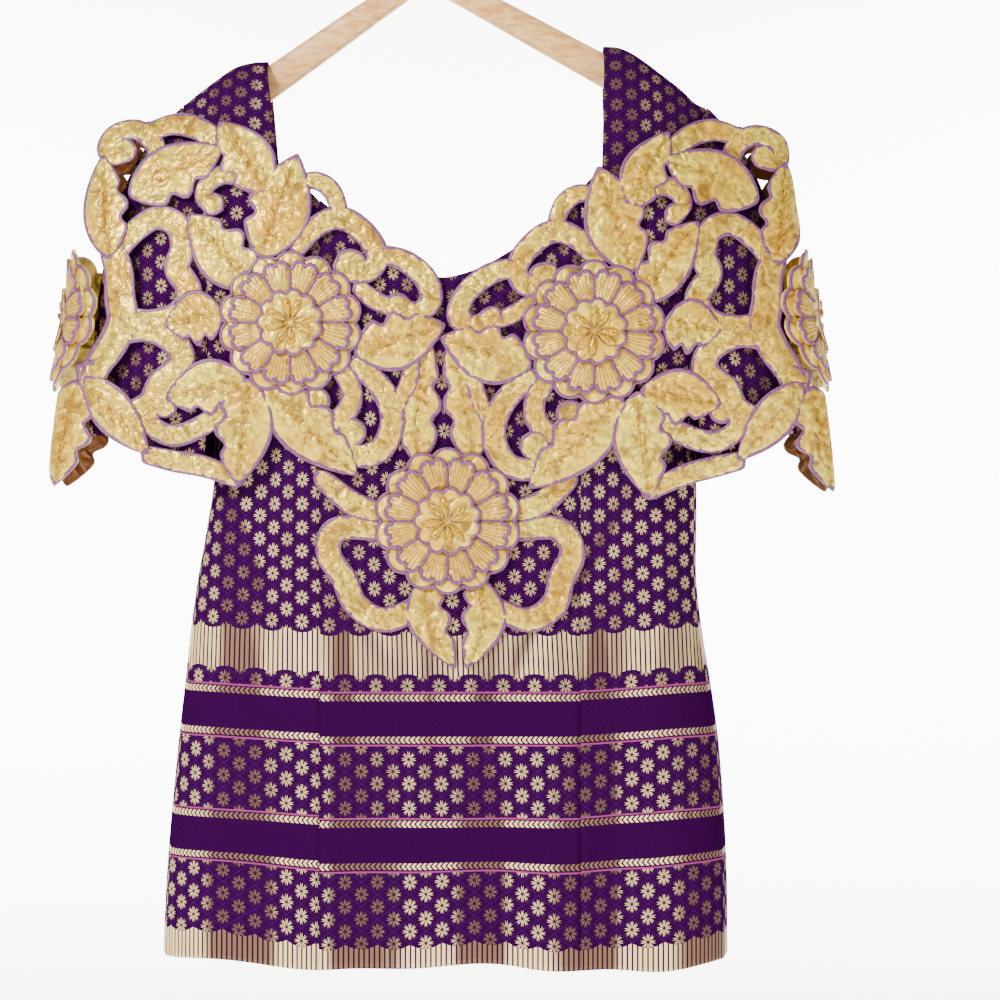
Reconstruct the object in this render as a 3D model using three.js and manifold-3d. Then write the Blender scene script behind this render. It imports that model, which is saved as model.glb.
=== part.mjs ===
// A short-sleeved brocade blouse with a satin cutwork yoke, hanging on a wooden coat hanger.
// Millimetres. +Z is up, the front faces -Y, and +X is on the right seen from the front.
// The origin is where the hook bears on its rail, and heights are given as drops below it.
import * as THREE from 'three';
import { mergeVertices } from 'three/addons/utils/BufferGeometryUtils.js';
import Module from 'manifold-3d';

const wasm = await Module();
wasm.setup();
const { lerp, smoothstep } = THREE.MathUtils;

// Cloth, seams and the layers of the applique, as distances out from the body cloth.
const clothThickness = 1.2;
const seamGap = 0.3;
const front = -1;
const back = 1;
const layers = {
  centrePiece: { from: 0.8, to: 2.0 },
  yoke: { from: 2.4, to: 3.8 },
  flowerBase: { from: 4.3, to: 5.6, dome: 0 },
  flowerPetals: { from: 6.4, to: 7.6, dome: 1.2 },
  flowerHeart: { from: 9.3, to: 10.5, dome: 1.6 },
};

// Cutting lines, in half-widths from the centre front and drops.
const hemDrop = 751;
const princessSeams = { left: 84, right: 93.5 };
const neck = { middle: -2, point: 284, rise: 77, halfWidth: 110, backDip: 9, backStrapInset: 6 };
const neckCurves = { left: 1.25, right: 1.7 };
const strapTops = { left: 123.5, right: 110.5 };
const underarm = 386;
const armholeFlare = 330;
const sleeveHem = { inner: 419, outer: 389 };
const archHeight = 130;
const archPower = 1.8;
const planPower = 3;
const shoulderSpan = 250;
const cutTolerance = 0.9;

// Rings of the body: half-widths on each side of the centre, and half-depths.
const bodyRings = [
  { drop: 120, left: 160, right: 165, front: 50, back: 42 },
  { drop: 255, left: 160, right: 165, front: 54, back: 43 },
  { drop: 315, left: 160, right: 167, front: 58, back: 45 },
  { drop: 386, left: 160, right: 173, front: 54, back: 46 },
  { drop: 424, left: 162, right: 176, front: 50, back: 45 },
  { drop: 456, left: 167, right: 176, front: 49, back: 44 },
  { drop: 490, left: 173, right: 176, front: 48, back: 44 },
  { drop: 526, left: 178, right: 180, front: 49, back: 45 },
  { drop: 563, left: 182, right: 186, front: 51, back: 47 },
  { drop: 608, left: 187, right: 192, front: 53, back: 49 },
  { drop: 687, left: 194, right: 197, front: 57, back: 53 },
  { drop: 770, left: 198, right: 198, front: 60, back: 56 },
];

// Outer edge of the stiff satin shell that stands round the sleeves.
const shellRings = [
  { drop: 170, left: 249, right: 240 },
  { drop: 205, left: 252, right: 241 },
  { drop: 256, left: 253, right: 247 },
  { drop: 309, left: 254.5, right: 250.5 },
  { drop: 350, left: 265, right: 261 },
  { drop: 392, left: 271, right: 267 },
  { drop: 430, left: 275, right: 271 },
];

// Outer edge of the soft purple sleeve that hangs inside the shell.
const sleeveRings = [
  { drop: 160, left: 184, right: 184 },
  { drop: 184, left: 206, right: 204 },
  { drop: 225, left: 227, right: 224 },
  { drop: 281, left: 240, right: 236 },
  { drop: 337, left: 246, right: 242 },
  { drop: 400, left: 249, right: 247 },
];

// The line along the top of each strap and shoulder, where front meets back, as drops.
const shoulderLine = [
  { x: 0, left: 128, right: 117.5 },
  { x: 122, left: 128, right: 117.5 },
  { x: 134, left: 128.5, right: 121 },
  { x: 147, left: 132, right: 129 },
  { x: 160, left: 140.5, right: 138.5 },
  { x: 172, left: 149.5, right: 147.5 },
  { x: 184, left: 158.5, right: 158 },
  { x: 200, left: 162, right: 162 },
  { x: 232, left: 165, right: 165 },
  { x: 245, left: 171, right: 171 },
  { x: 250, left: 178, right: 178 },
];

// The armhole, from the shoulder to the underarm, then the side of the body down to the sleeve's hem.
const armhole = [
  { drop: 140, left: 185, right: 185 },
  { drop: 158, left: 183, right: 183 },
  { drop: 180, left: 175, right: 175 },
  { drop: 215, left: 167, right: 167 },
  { drop: 260, left: 162, right: 164 },
  { drop: 320, left: 160, right: 165 },
  { drop: 360, left: 160, right: 170 },
  { drop: 386, left: 161, right: 174 },
  { drop: 424, left: 163, right: 177 },
];

// Soft vertical folds below the bust: how far each comes out, and where it starts.
const frontFolds = [
  { x: -160, spread: 26, out: 4, from: 420 },
  { x: -117, spread: 22, out: -5, from: 430 },
  { x: -80, spread: 20, out: 4, from: 470 },
  { x: -34, spread: 28, out: -2.5, from: 560 },
  { x: 6, spread: 24, out: 2.5, from: 560 },
  { x: 43, spread: 18, out: -4, from: 540 },
  { x: 80, spread: 24, out: 4, from: 450 },
  { x: 118, spread: 19, out: -5, from: 430 },
  { x: 158, spread: 24, out: 3.5, from: 420 },
];
const backFolds = [
  { x: -140, spread: 24, out: -4, from: 400 },
  { x: -85, spread: 30, out: 5, from: 440 },
  { x: -30, spread: 22, out: -3, from: 520 },
  { x: 20, spread: 26, out: 3, from: 500 },
  { x: 76, spread: 24, out: -5, from: 420 },
  { x: 130, spread: 28, out: 4.5, from: 450 },
];

// The applique, one side only: half-widths out from the centre and drops.
const leaves = [
  { base: [123, 272], tip: [99, 199], width: 42, lobed: 1 },
  { base: [118, 226], tip: [154, 175], width: 36, lobed: 1 },
  { base: [216, 226], tip: [150, 194], width: 40, lobed: -1, wraps: true },
  { base: [229, 270], tip: [236, 196], width: 32, lobed: -1, wraps: true },
  { base: [126, 292], tip: [174, 240], width: 38, lobed: -1 },
  { base: [148, 308], tip: [189, 316], width: 36, lobed: 1 },
  { base: [133, 352], tip: [189, 366], width: 36, lobed: 1 },
  { base: [131, 352], tip: [140, 425], width: 38, lobed: -1 },
  { base: [122, 356], tip: [58, 418], width: 38, lobed: 1 },
  { base: [60, 336], tip: [-2, 316], width: 38, lobed: 1 },
  { base: [252, 352], tip: [269, 425], width: 38, lobed: 1, wraps: true },
  { base: [246, 350], tip: [200, 404], width: 28, lobed: 0, wraps: true },
];
const scrolls = [
  { width: 15, curl: 9, wraps: true,
    points: [[194, 206], [201, 187], [214, 178], [228, 181], [234, 191], [228, 198], [221, 194]] },
  { width: 17, curl: 8, wraps: true, points: [[152, 192], [168, 180], [186, 175], [204, 180]] },
  { width: 14, curl: 8, points: [[120, 232], [132, 218], [148, 213], [160, 219], [163, 229], [156, 234]] },
  { width: 13, curl: 6, points: [[101, 220], [86, 218], [75, 226], [68, 245]] },
  { width: 16, curl: 12, points: [[102, 268], [85, 249], [68, 244], [52, 255], [44, 270], [51, 281], [62, 277]] },
  { width: 16, curl: 9, points: [[44, 268], [26, 273], [12, 285], [8, 299], [17, 308], [30, 304]] },
  { width: 13, curl: 6, points: [[60, 288], [47, 299], [30, 307]] },
  { width: 12, curl: 6, points: [[19, 334], [24, 357], [34, 376]] },
  { width: 17, curl: 10, points: [[62, 338], [41, 360], [34, 380], [41, 399], [56, 405], [67, 398], [62, 389]] },
  { width: 15, curl: 10, points: [[76, 338], [63, 356], [63, 371], [73, 381], [85, 377], [86, 368]] },
  { width: 15, curl: 9, points: [[144, 366], [160, 382], [182, 391], [198, 384], [199, 373], [190, 370]] },
  { width: 15, curl: 6, points: [[206, 403], [184, 408], [162, 412], [140, 420]] },
];
const loops = [
  { width: 18, wraps: true,
    points: [[228, 272], [213, 253], [196, 242], [181, 248], [177, 264], [181, 277],
      [172, 293], [180, 308], [200, 313], [222, 308]] },
  { width: 19, wraps: true,
    points: [[224, 322], [200, 319], [181, 329], [178, 343], [192, 356], [200, 370],
      [220, 377], [238, 367], [246, 340]] },
];
const centreLeaves = [
  { base: [18, 412], tip: [5, 326], width: 30, lobed: -1 },
  { base: [10, 484], tip: [1, 549], width: 34, lobed: 1 },
];
const centreBands = [
  { width: 18, curl: 0, points: [[38, 456], [74, 454], [83, 470], [74, 488], [67, 506], [47, 516], [16, 502]] },
  { width: 17, curl: 6, points: [[34, 446], [62, 438], [84, 420]] },
];

// The five flowers, sewn on the yoke, on the body or round the edge of the sleeve's shell.
const flowers = [
  { name: 'bust_left', on: 'yoke', x: -103, drop: 315, radius: 49, lift: 0 },
  { name: 'bust_right', on: 'yoke', x: 102, drop: 321, radius: 49, lift: 0 },
  { name: 'centre', on: 'body', x: 3, drop: 449, radius: 50, lift: 0.6 },
  { name: 'sleeve_left', on: 'edge', hand: -1, drop: 309, radius: 50, lift: 0.8 },
  { name: 'sleeve_right', on: 'edge', hand: 1, drop: 309, radius: 50, lift: -0.6 },
];
const flowerLayers = [
  { name: 'base', layer: layers.flowerBase, size: 1, lobes: 12, depth: 0.07, steps: 3, slot: 'satin' },
  { name: 'petals', layer: layers.flowerPetals, size: 0.85, lobes: 12, depth: 0.09, steps: 3, slot: 'gold' },
  { name: 'heart', layer: layers.flowerHeart, size: 0.47, lobes: 8, depth: 0.1, steps: 3, slot: 'satin' },
];

// The hanger, whose arms lean a little, and where the garment's centre hangs from it.
const garmentShift = 17.5;
const hanger = { thickness: 12, bevel: 4.5, lean: 3.3 };
const hangerArm = [
  { x: 0, top: 57.5, under: 78.5 },
  { x: 9, top: 58.5, under: 80.5 },
  { x: 20, top: 70.5, under: 88 },
  { x: 50, top: 87.5, under: 107.5 },
  { x: 122, top: 130.7, under: 154 },
  { x: 148, top: 145.5, under: 170 },
  { x: 170, top: 161, under: 185 },
  { x: 186, top: 175, under: 196 },
];
const hook = { wire: 1.9, bend: 19.9, openFrom: 200, closeAt: -62, collar: 4, collarHeight: 4 };

const materials = {
  brocade: new THREE.MeshStandardMaterial({ color: 0x4b1566, roughness: 0.62, metalness: 0.1 }),
  satin: new THREE.MeshStandardMaterial({ color: 0xe3c98c, roughness: 0.38, metalness: 0.05 }),
  gold: new THREE.MeshStandardMaterial({ color: 0xd9b04a, roughness: 0.45, metalness: 0.4 }),
  wood: new THREE.MeshStandardMaterial({ color: 0xe6c294, roughness: 0.5, metalness: 0 }),
  steel: new THREE.MeshStandardMaterial({ color: 0xc9ccd0, roughness: 0.25, metalness: 1 }),
};

// One column of a table at any place between its rows, on a smooth curve.
function along(rows, column, at, axis = 'drop') {
  const last = rows.length - 1;
  if (at <= rows[0][axis]) return rows[0][column];
  if (at >= rows[last][axis]) return rows[last][column];
  const i = rows.findIndex((row) => row[axis] > at) - 1;
  const span = rows[i + 1][axis] - rows[i][axis];
  const t = (at - rows[i][axis]) / span;
  const slope = (k) => {
    const before = rows[Math.max(k - 1, 0)];
    const after = rows[Math.min(k + 1, last)];
    return ((after[column] - before[column]) / (after[axis] - before[axis])) * span;
  };
  const [p, q, m, n] = [rows[i][column], rows[i + 1][column], slope(i), slope(i + 1)];
  return p + t * (m + t * (3 * (q - p) - 2 * m - n + t * (2 * (p - q) + m + n)));
}

const sideOf = (x) => (x < 0 ? 'left' : 'right');
const shellWidth = (drop, x) => along(shellRings, sideOf(x), drop);
const bodyWidth = (drop, x) =>
  lerp(shellWidth(drop, x), along(bodyRings, sideOf(x), drop), smoothstep(drop, armholeFlare, underarm));
const shoulderDrop = (share) => along(shoulderLine, sideOf(share), Math.abs(share) * shoulderSpan, 'x');
const armholeAt = (drop, x) => along(armhole, sideOf(x), drop);
const frontNeck = (x) => {
  const share = Math.abs(x - neck.middle) / neck.halfWidth;
  return neck.point - neck.rise * share ** neckCurves[sideOf(x - neck.middle)];
};
const backNeck = (x) => frontNeck(x) + neck.backDip;

// How much of its depth the plan outline keeps at a share of its half-width.
const planShare = (share) => Math.max(0, 1 - share ** planPower) ** (1 / planPower);

// How much of its depth the cloth has at a distance below the shoulder line.
function archShare(below) {
  const left = 1 - THREE.MathUtils.clamp(below / archHeight, 0, 1);
  return (1 - left ** archPower) ** (1 / archPower);
}

function foldAt(x, drop, side) {
  const folds = side === front ? frontFolds : backFolds;
  return folds.reduce((sum, fold) => {
    const across = Math.exp(-(((x - fold.x) / fold.spread) ** 2));
    return sum + fold.out * across * smoothstep(drop, fold.from, hemDrop);
  }, 0);
}

// A point of a garment surface, moved out by a distance.
function clothPoint(widthAt, side, share, drop, out) {
  const x = share * (widthAt(drop, share) + out);
  const depth = along(bodyRings, side === front ? 'front' : 'back', drop) + out;
  const below = drop - shoulderDrop(share) + out;
  const plan = planShare(Math.abs(share));
  const y = depth * archShare(below) * plan + foldAt(x, drop, side) * plan;
  return new THREE.Vector3(x, side * (seamGap / 2 + y), -drop);
}

// The same, at a stated distance from the centre.
function clothPointAt(widthAt, side, x, drop, out) {
  const share = THREE.MathUtils.clamp(x / (widthAt(drop, x) + out), -1, 1);
  return clothPoint(widthAt, side, share, drop, out);
}

// Turns a geometry into a solid that can be joined and cut.
function solidOf(geometry) {
  const bare = geometry.clone();
  bare.deleteAttribute('normal');
  bare.deleteAttribute('uv');
  const merged = mergeVertices(bare, 1e-4);
  return new wasm.Manifold(new wasm.Mesh({
    numProp: 3,
    vertProperties: new Float32Array(merged.attributes.position.array),
    triVerts: new Uint32Array(merged.index.array),
  }));
}

// Turns such a solid back into a geometry.
function geometryOf(solid) {
  const mesh = solid.getMesh();
  const geometry = new THREE.BufferGeometry();
  const positions = new Float32Array(mesh.numVert * 3);
  for (let i = 0; i < mesh.numVert; i++)
    for (let k = 0; k < 3; k++) positions[i * 3 + k] = mesh.vertProperties[i * mesh.numProp + k];
  geometry.setAttribute('position', new THREE.BufferAttribute(positions, 3));
  geometry.setIndex(new THREE.BufferAttribute(new Uint32Array(mesh.triVerts), 1));
  geometry.computeVertexNormals();
  return geometry;
}

// A closed body from its points and triangles, turned to face out.
function closedGeometry(points, triangles) {
  const geometry = new THREE.BufferGeometry();
  geometry.setAttribute('position', new THREE.Float32BufferAttribute(points.flatMap((p) => p.toArray()), 3));
  geometry.setIndex(triangles.flat());
  let volume = 0;
  for (const [a, b, c] of triangles) volume += points[a].dot(points[b].clone().cross(points[c]));
  if (volume < 0) geometry.setIndex(triangles.flatMap(([a, b, c]) => [a, c, b]));
  geometry.computeVertexNormals();
  return geometry;
}

// A closed wall between an outer and an inner grid of points: pointAt(column, row, layer).
function wallGeometry(columns, rows, pointAt) {
  const points = [];
  const index = (c, r, layer) => (layer * rows + r) * columns + c;
  for (let layer = 0; layer < 2; layer++)
    for (let r = 0; r < rows; r++) for (let c = 0; c < columns; c++) points.push(pointAt(c, r, layer));
  const triangles = [];
  const quad = (a, b, c, d) => triangles.push([a, b, c], [a, c, d]);
  for (let r = 0; r + 1 < rows; r++)
    for (let c = 0; c + 1 < columns; c++) {
      quad(index(c, r, 0), index(c, r + 1, 0), index(c + 1, r + 1, 0), index(c + 1, r, 0));
      quad(index(c, r, 1), index(c + 1, r, 1), index(c + 1, r + 1, 1), index(c, r + 1, 1));
    }
  for (let c = 0; c + 1 < columns; c++) {
    quad(index(c, 0, 0), index(c + 1, 0, 0), index(c + 1, 0, 1), index(c, 0, 1));
    quad(index(c, rows - 1, 0), index(c, rows - 1, 1), index(c + 1, rows - 1, 1), index(c + 1, rows - 1, 0));
  }
  for (let r = 0; r + 1 < rows; r++) {
    quad(index(0, r, 0), index(0, r, 1), index(0, r + 1, 1), index(0, r + 1, 0));
    quad(index(columns - 1, r, 0), index(columns - 1, r + 1, 0),
      index(columns - 1, r + 1, 1), index(columns - 1, r, 1));
  }
  return closedGeometry(points, triangles);
}

// A garment wall: shares across, distances below the shoulder line for its arched top, then drops.
function garmentWall(widthAt, side, shares, archRows, drops, outer, inner) {
  const pointAt = (c, r, layer) => {
    const out = layer === 0 ? outer : inner;
    const share = shares[c];
    const top = shoulderDrop(share) - out;
    const drop = r < archRows.length ? top + archRows[r] : drops[r - archRows.length];
    return clothPoint(widthAt, side, share, drop, out);
  };
  return wallGeometry(shares.length, archRows.length + drops.length, pointAt);
}

const mirrored = (half) => [...half.slice(1).reverse().map((s) => -s), ...half];
const frontShares = mirrored([0, 0.11, 0.22, 0.33, 0.44, 0.55, 0.66, 0.77, 0.87, 0.95, 0.99, 1]);
const backShares = mirrored([0, 0.15, 0.3, 0.45, 0.6, 0.74, 0.86, 0.95, 0.99, 1]);
const shellShares = mirrored([0, 0.18, 0.36, 0.52, 0.66, 0.77, 0.86, 0.925, 0.97, 0.995, 1]);
const archRows = [0, 2.5, 8, 18, 36, 64, 98];
const bodyDrops = [318, 352, 386, 430, 474, 518, 562, 606, 652, 702, hemDrop];
const shellDrops = [288, 310, 336, 364, 397, 432];

// Flat outlines of half-width and drop, joined into one shape.
const flat = (outline) => new wasm.CrossSection([outline.map(([x, drop]) => [x, -drop])], 'NonZero');
const joined = (outlines) => wasm.CrossSection.union(outlines.map(flat)).simplify(cutTolerance);

// A prism along Y with a flat shape's outline, for cutting cloth.
const cutter = (shape) => shape.extrude(300, 0, 0, [1, 1], true).rotate([90, 0, 0]);

// What is left of a wall inside a shape, without the slivers of a cut.
function cutFrom(wall, shape) {
  const bodies = wall.intersect(cutter(shape)).decompose();
  return bodies.sort((a, b) => b.volume() - a.volume())[0];
}

const mirror = (outline, side) => outline.map(([x, drop]) => [x * side, drop]);
const stepped = (from, to, steps, point) =>
  Array.from({ length: steps + 1 }, (_, i) => point(lerp(from, to, i / steps)));

// Cutting outlines of the body's panels.
function centreOutline(neckAt) {
  const left = seamGap / 2 - princessSeams.left;
  const right = princessSeams.right - seamGap / 2;
  return [[left, 800], [right, 800], ...stepped(right, left, 12, (x) => [x, neckAt(x)])];
}

function sideOutline(neckAt, hand, seamAt, strapInset) {
  const inner = seamAt + seamGap / 2;
  const top = strapTops[sideOf(hand)];
  const low = neck.halfWidth + neck.middle * hand + strapInset;
  const half = [
    [inner, 800], [260, 800], [260, underarm],
    ...stepped(underarm, 150, 16, (drop) => [armholeAt(drop, hand), drop]),
    [190, 100], [top, 100], [top, 132],
    ...stepped(low, inner, seamAt ? 3 : 10, (x) => [x, neckAt((x - strapInset * (x / low)) * hand)]),
  ];
  return mirror(half, hand);
}

// The body's panels, cut from a front wall and a back wall.
function bodyPanels() {
  const frontWall = solidOf(
    garmentWall(bodyWidth, front, frontShares, archRows, bodyDrops, 0, -clothThickness));
  const backWall = solidOf(
    garmentWall(bodyWidth, back, backShares, archRows, bodyDrops, 0, -clothThickness));
  const frontSide = (hand) => flat(sideOutline(frontNeck, hand, princessSeams[sideOf(hand)], 0));
  const backHalf = (hand) => flat(sideOutline(backNeck, hand, 0, neck.backStrapInset));
  return [
    ['front_centre', cutFrom(frontWall, flat(centreOutline(frontNeck)))],
    ['front_side_left', cutFrom(frontWall, frontSide(-1))],
    ['front_side_right', cutFrom(frontWall, frontSide(1))],
    ['back_left', cutFrom(backWall, backHalf(-1))],
    ['back_right', cutFrom(backWall, backHalf(1))],
  ];
}

// A soft sleeve, arched from the front armhole over its outer edge to the back armhole.
function sleeveGeometry(hand) {
  const halfTurn = [0, 0.3, 0.55, 0.75, 0.9, 0.98, 1];
  const turns = [...halfTurn.map((s) => [front, s]), ...halfTurn.slice(0, -1).reverse().map((s) => [back, s])];
  const drops = [167, 174, 186, 204, 230, 262, 298, 334, 366];
  const pointAt = (c, r, layer) => {
    const out = layer === 0 ? 0 : -clothThickness;
    const [side, share] = turns[c];
    const drop = r < drops.length ? drops[r] : lerp(sleeveHem.inner, sleeveHem.outer, smoothstep(share, 0, 0.8));
    const inner = armholeAt(drop, hand) + seamGap;
    const x = lerp(inner, along(sleeveRings, sideOf(hand), drop) + out, share);
    const point = clothPointAt(shellWidth, side, x * hand, drop, out);
    point.y *= planShare(share);
    return point;
  };
  return wallGeometry(turns.length, drops.length + 1, pointAt);
}

// The under sleeve, which closes the sleeve's tube beside the body.
function underSleeveGeometry(hand) {
  const steps = 8;
  const pointAt = (c, r, layer) => {
    const across = (2 * c) / steps - 1;
    const top = underarm + 4 - (underarm - armholeFlare) * Math.abs(across) ** 1.6;
    const drop = lerp(top, sleeveHem.inner, r / 2);
    const x = armholeAt(drop, hand) + 1 + (layer === 0 ? 0 : clothThickness);
    const sheet = clothPointAt(shellWidth, across < 0 ? front : back, x * hand, drop, -clothThickness);
    return new THREE.Vector3(x * hand, Math.abs(across) * (sheet.y - Math.sign(sheet.y) * 1.5), -drop);
  };
  return wallGeometry(steps + 1, 3, pointAt);
}

// A leaf with a pointed tip and, on one side, round lobes.
function leafOutline({ base, tip, width, lobed }) {
  const steps = 9;
  const axis = [tip[0] - base[0], tip[1] - base[1]];
  const length = Math.hypot(...axis);
  const normal = [-axis[1] / length, axis[0] / length];
  const half = (t, side) => {
    const plain = (width / 2) * Math.sin(Math.PI * t ** 0.85) ** 0.85;
    if (side !== lobed) return plain;
    const notch = Math.exp(-(((t - 0.38) / 0.06) ** 2)) + Math.exp(-(((t - 0.64) / 0.06) ** 2));
    return plain * (1 - 0.34 * notch);
  };
  const edge = (side) => (t) => {
    const reach = half(t, side) * side;
    return [base[0] + axis[0] * t + normal[0] * reach, base[1] + axis[1] * t + normal[1] * reach];
  };
  const right = stepped(0, 1, steps, edge(1)).slice(0, -1);
  const left = stepped(1, 0, steps, edge(-1)).slice(0, -1);
  return [...right, ...left];
}

const circleOutline = (x, drop, radius, steps) =>
  stepped(0, 2 * Math.PI * (1 - 1 / steps), steps - 1,
    (angle) => [x + radius * Math.cos(angle), drop + radius * Math.sin(angle)]);

// A scroll or loop as short pieces along a smooth line, with a round end where it curls.
function bandOutlines({ points, width, curl = 0 }) {
  const line = new THREE.SplineCurve(points.map(([x, drop]) => new THREE.Vector2(x, drop)));
  const steps = Math.round(line.getLength() / 9);
  const stations = stepped(0, 1, steps, (t) => {
    const middle = line.getPointAt(t);
    const across = line.getTangentAt(t).rotateAround(new THREE.Vector2(), Math.PI / 2);
    const half = (width / 2) * (0.8 + 0.2 * Math.sin(Math.PI * t));
    return { middle, half, corners: [1, -1].map((s) => middle.clone().addScaledVector(across, half * s)) };
  });
  const outlines = stations.slice(1, -1).map(({ middle, half }) => circleOutline(middle.x, middle.y, half, 8));
  for (let i = 0; i < steps; i++) {
    const corners = [...stations[i].corners, ...stations[i + 1].corners];
    const middle = corners.reduce((sum, p) => sum.add(p), new THREE.Vector2()).divideScalar(4);
    const turn = (p) => Math.atan2(p.y - middle.y, p.x - middle.x);
    outlines.push(corners.sort((p, q) => turn(p) - turn(q)).map((p) => [p.x, p.y]));
  }
  const end = points[points.length - 1];
  if (curl) outlines.push(circleOutline(end[0], end[1], curl, 10));
  return outlines;
}

// The right half hangs a little lower and opens outward by the strap.
function settleYoke([x, drop], hand) {
  if (hand < 0) return [-x, drop];
  const byStrap = (1 - smoothstep(drop, 270, 320)) * (1 - smoothstep(x, 120, 160));
  return [x + 6 * byStrap, drop + lerp(9, 4, smoothstep(x, 130, 190))];
}

// The centre piece leans: its foot hangs to the right.
function settleCentre([x, drop], hand) {
  const below = drop - 449;
  return [x * hand + 3 + below * (below > 0 ? 0.088 : 0.045), drop];
}

const motifOutlines = (leafRows, bandRows, hand, settle) =>
  [...leafRows.map(leafOutline), ...bandRows.flatMap(bandOutlines)]
    .map((outline) => outline.map((point) => settle(point, hand)));

// The cutwork: satin walls cut to the leaves, scrolls and loops.
function cutwork() {
  const { from, to } = layers.yoke;
  const shellWall = (side) =>
    solidOf(garmentWall(shellWidth, side, shellShares, archRows, shellDrops, to, from));
  const frontShell = shellWall(front);
  const backShell = shellWall(back);
  const bands = [...scrolls, ...loops];
  const nodes = [];
  for (const [name, hand] of [['left', -1], ['right', 1]]) {
    const flower = flowers.find((row) => row.name === `bust_${name}`);
    const disc = circleOutline(flower.x, flower.drop, flower.radius - 5, 20);
    const edgePatch = mirror(circleOutline(272, 309, 40, 14), hand);
    const half = flat(mirror([[seamGap / 2, 100], [300, 100], [300, 500], [seamGap / 2, 500]], hand));
    const wraps = (row) => row.wraps;
    const all = motifOutlines(leaves, bands, hand, settleYoke);
    const wrapping = motifOutlines(leaves.filter(wraps), bands.filter(wraps), hand, settleYoke);
    nodes.push([`yoke_${name}`, cutFrom(frontShell, joined([disc, edgePatch, ...all]).intersect(half))]);
    nodes.push([`sleeve_cutwork_back_${name}`, cutFrom(backShell, joined([edgePatch, ...wrapping]))]);
  }
  const lower = layers.centrePiece;
  const lowerDrops = [315, 350, 386, 430, 475, 520, 574];
  const lowerShares = mirrored([0, 0.15, 0.3, 0.45, 0.6]);
  const lowerWall = solidOf(
    garmentWall(bodyWidth, front, lowerShares, [], lowerDrops, lower.to, lower.from));
  const centre = flowers.find((row) => row.name === 'centre');
  const disc = circleOutline(centre.x, centre.drop, centre.radius - 5, 20);
  const outlines = [-1, 1].flatMap((hand) => motifOutlines(centreLeaves, centreBands, hand, settleCentre));
  nodes.push(['yoke_centre', cutFrom(lowerWall, joined([disc, ...outlines]))]);
  return nodes;
}

// Where a flower's points lie, at distances across and down from its centre and out from the cloth.
function flowerSeat({ on, hand, x, drop, lift }) {
  if (on !== 'edge') {
    const widthAt = on === 'body' ? bodyWidth : shellWidth;
    return (across, down, out) => clothPointAt(widthAt, front, x + across, drop + down, out + lift);
  }
  return (across, down, out) => {
    const side = across < 0 ? front : back;
    const at = (share) => clothPoint(shellWidth, side, share * hand, drop + down, 1.15 * out + lift);
    let before = at(1);
    let walked = 0;
    for (const depthShare of stepped(0.025, 1, 39, (s) => s)) {
      const next = at(planShare(depthShare));
      const step = before.distanceTo(next);
      if (walked + step >= Math.abs(across)) return before.lerp(next, (Math.abs(across) - walked) / step);
      walked += step;
      before = next;
    }
    return before;
  };
}

// One scalloped layer of a flower, a little domed.
function flowerLayerGeometry(seat, radius, rings, { layer, lobes, depth, steps }) {
  const count = lobes * steps;
  const reach = (k) => radius * (1 - depth + depth * Math.abs(Math.sin((Math.PI * k) / steps)) ** 0.7);
  const points = [seat(0, 0, layer.to + layer.dome), seat(0, 0, layer.from)];
  const ring = (share, out) => {
    const start = points.length;
    for (let k = 0; k < count; k++) {
      const angle = (2 * Math.PI * k) / count;
      points.push(seat(Math.cos(angle) * reach(k) * share, Math.sin(angle) * reach(k) * share, out));
    }
    return start;
  };
  const upper = rings.map((share) => ring(share, layer.to + layer.dome * (1 - share ** 2)));
  const lower = rings.map((share) => ring(share, layer.from));
  const triangles = [];
  for (let k = 0; k < count; k++) {
    const n = (k + 1) % count;
    triangles.push([0, upper[0] + k, upper[0] + n], [1, lower[0] + n, lower[0] + k]);
    const skin = [...upper, ...lower.toReversed()];
    for (let i = 0; i + 1 < skin.length; i++) {
      const [a, b] = [skin[i], skin[i + 1]];
      triangles.push([a + k, b + k, b + n], [a + k, b + n, a + n]);
    }
  }
  return closedGeometry(points, triangles);
}

// The wooden hanger, cut to its front outline and rounded by a bevel.
function hangerGeometry() {
  const { thickness, bevel } = hanger;
  const end = hangerArm[hangerArm.length - 1];
  const half = [
    ...hangerArm.map((row) => [row.x, row.top]), [end.x + 4, end.top + 9], [end.x + 1, end.top + 18],
    ...hangerArm.toReversed().map((row) => [row.x - (row.x * 7) / end.x, row.under]),
  ];
  const outline = [...half, ...mirror(half.slice(1, -1), -1).reverse()];
  const shape = new THREE.Shape(outline.map(([x, drop]) => new THREE.Vector2(x, -drop)));
  const core = thickness - 2 * bevel;
  const geometry = new THREE.ExtrudeGeometry(shape, {
    depth: core, bevelThickness: bevel, bevelSize: bevel, bevelOffset: -bevel, bevelSegments: 2,
  });
  geometry.rotateX(Math.PI / 2);
  geometry.translate(0, core / 2, 0);
  return geometry;
}

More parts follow.
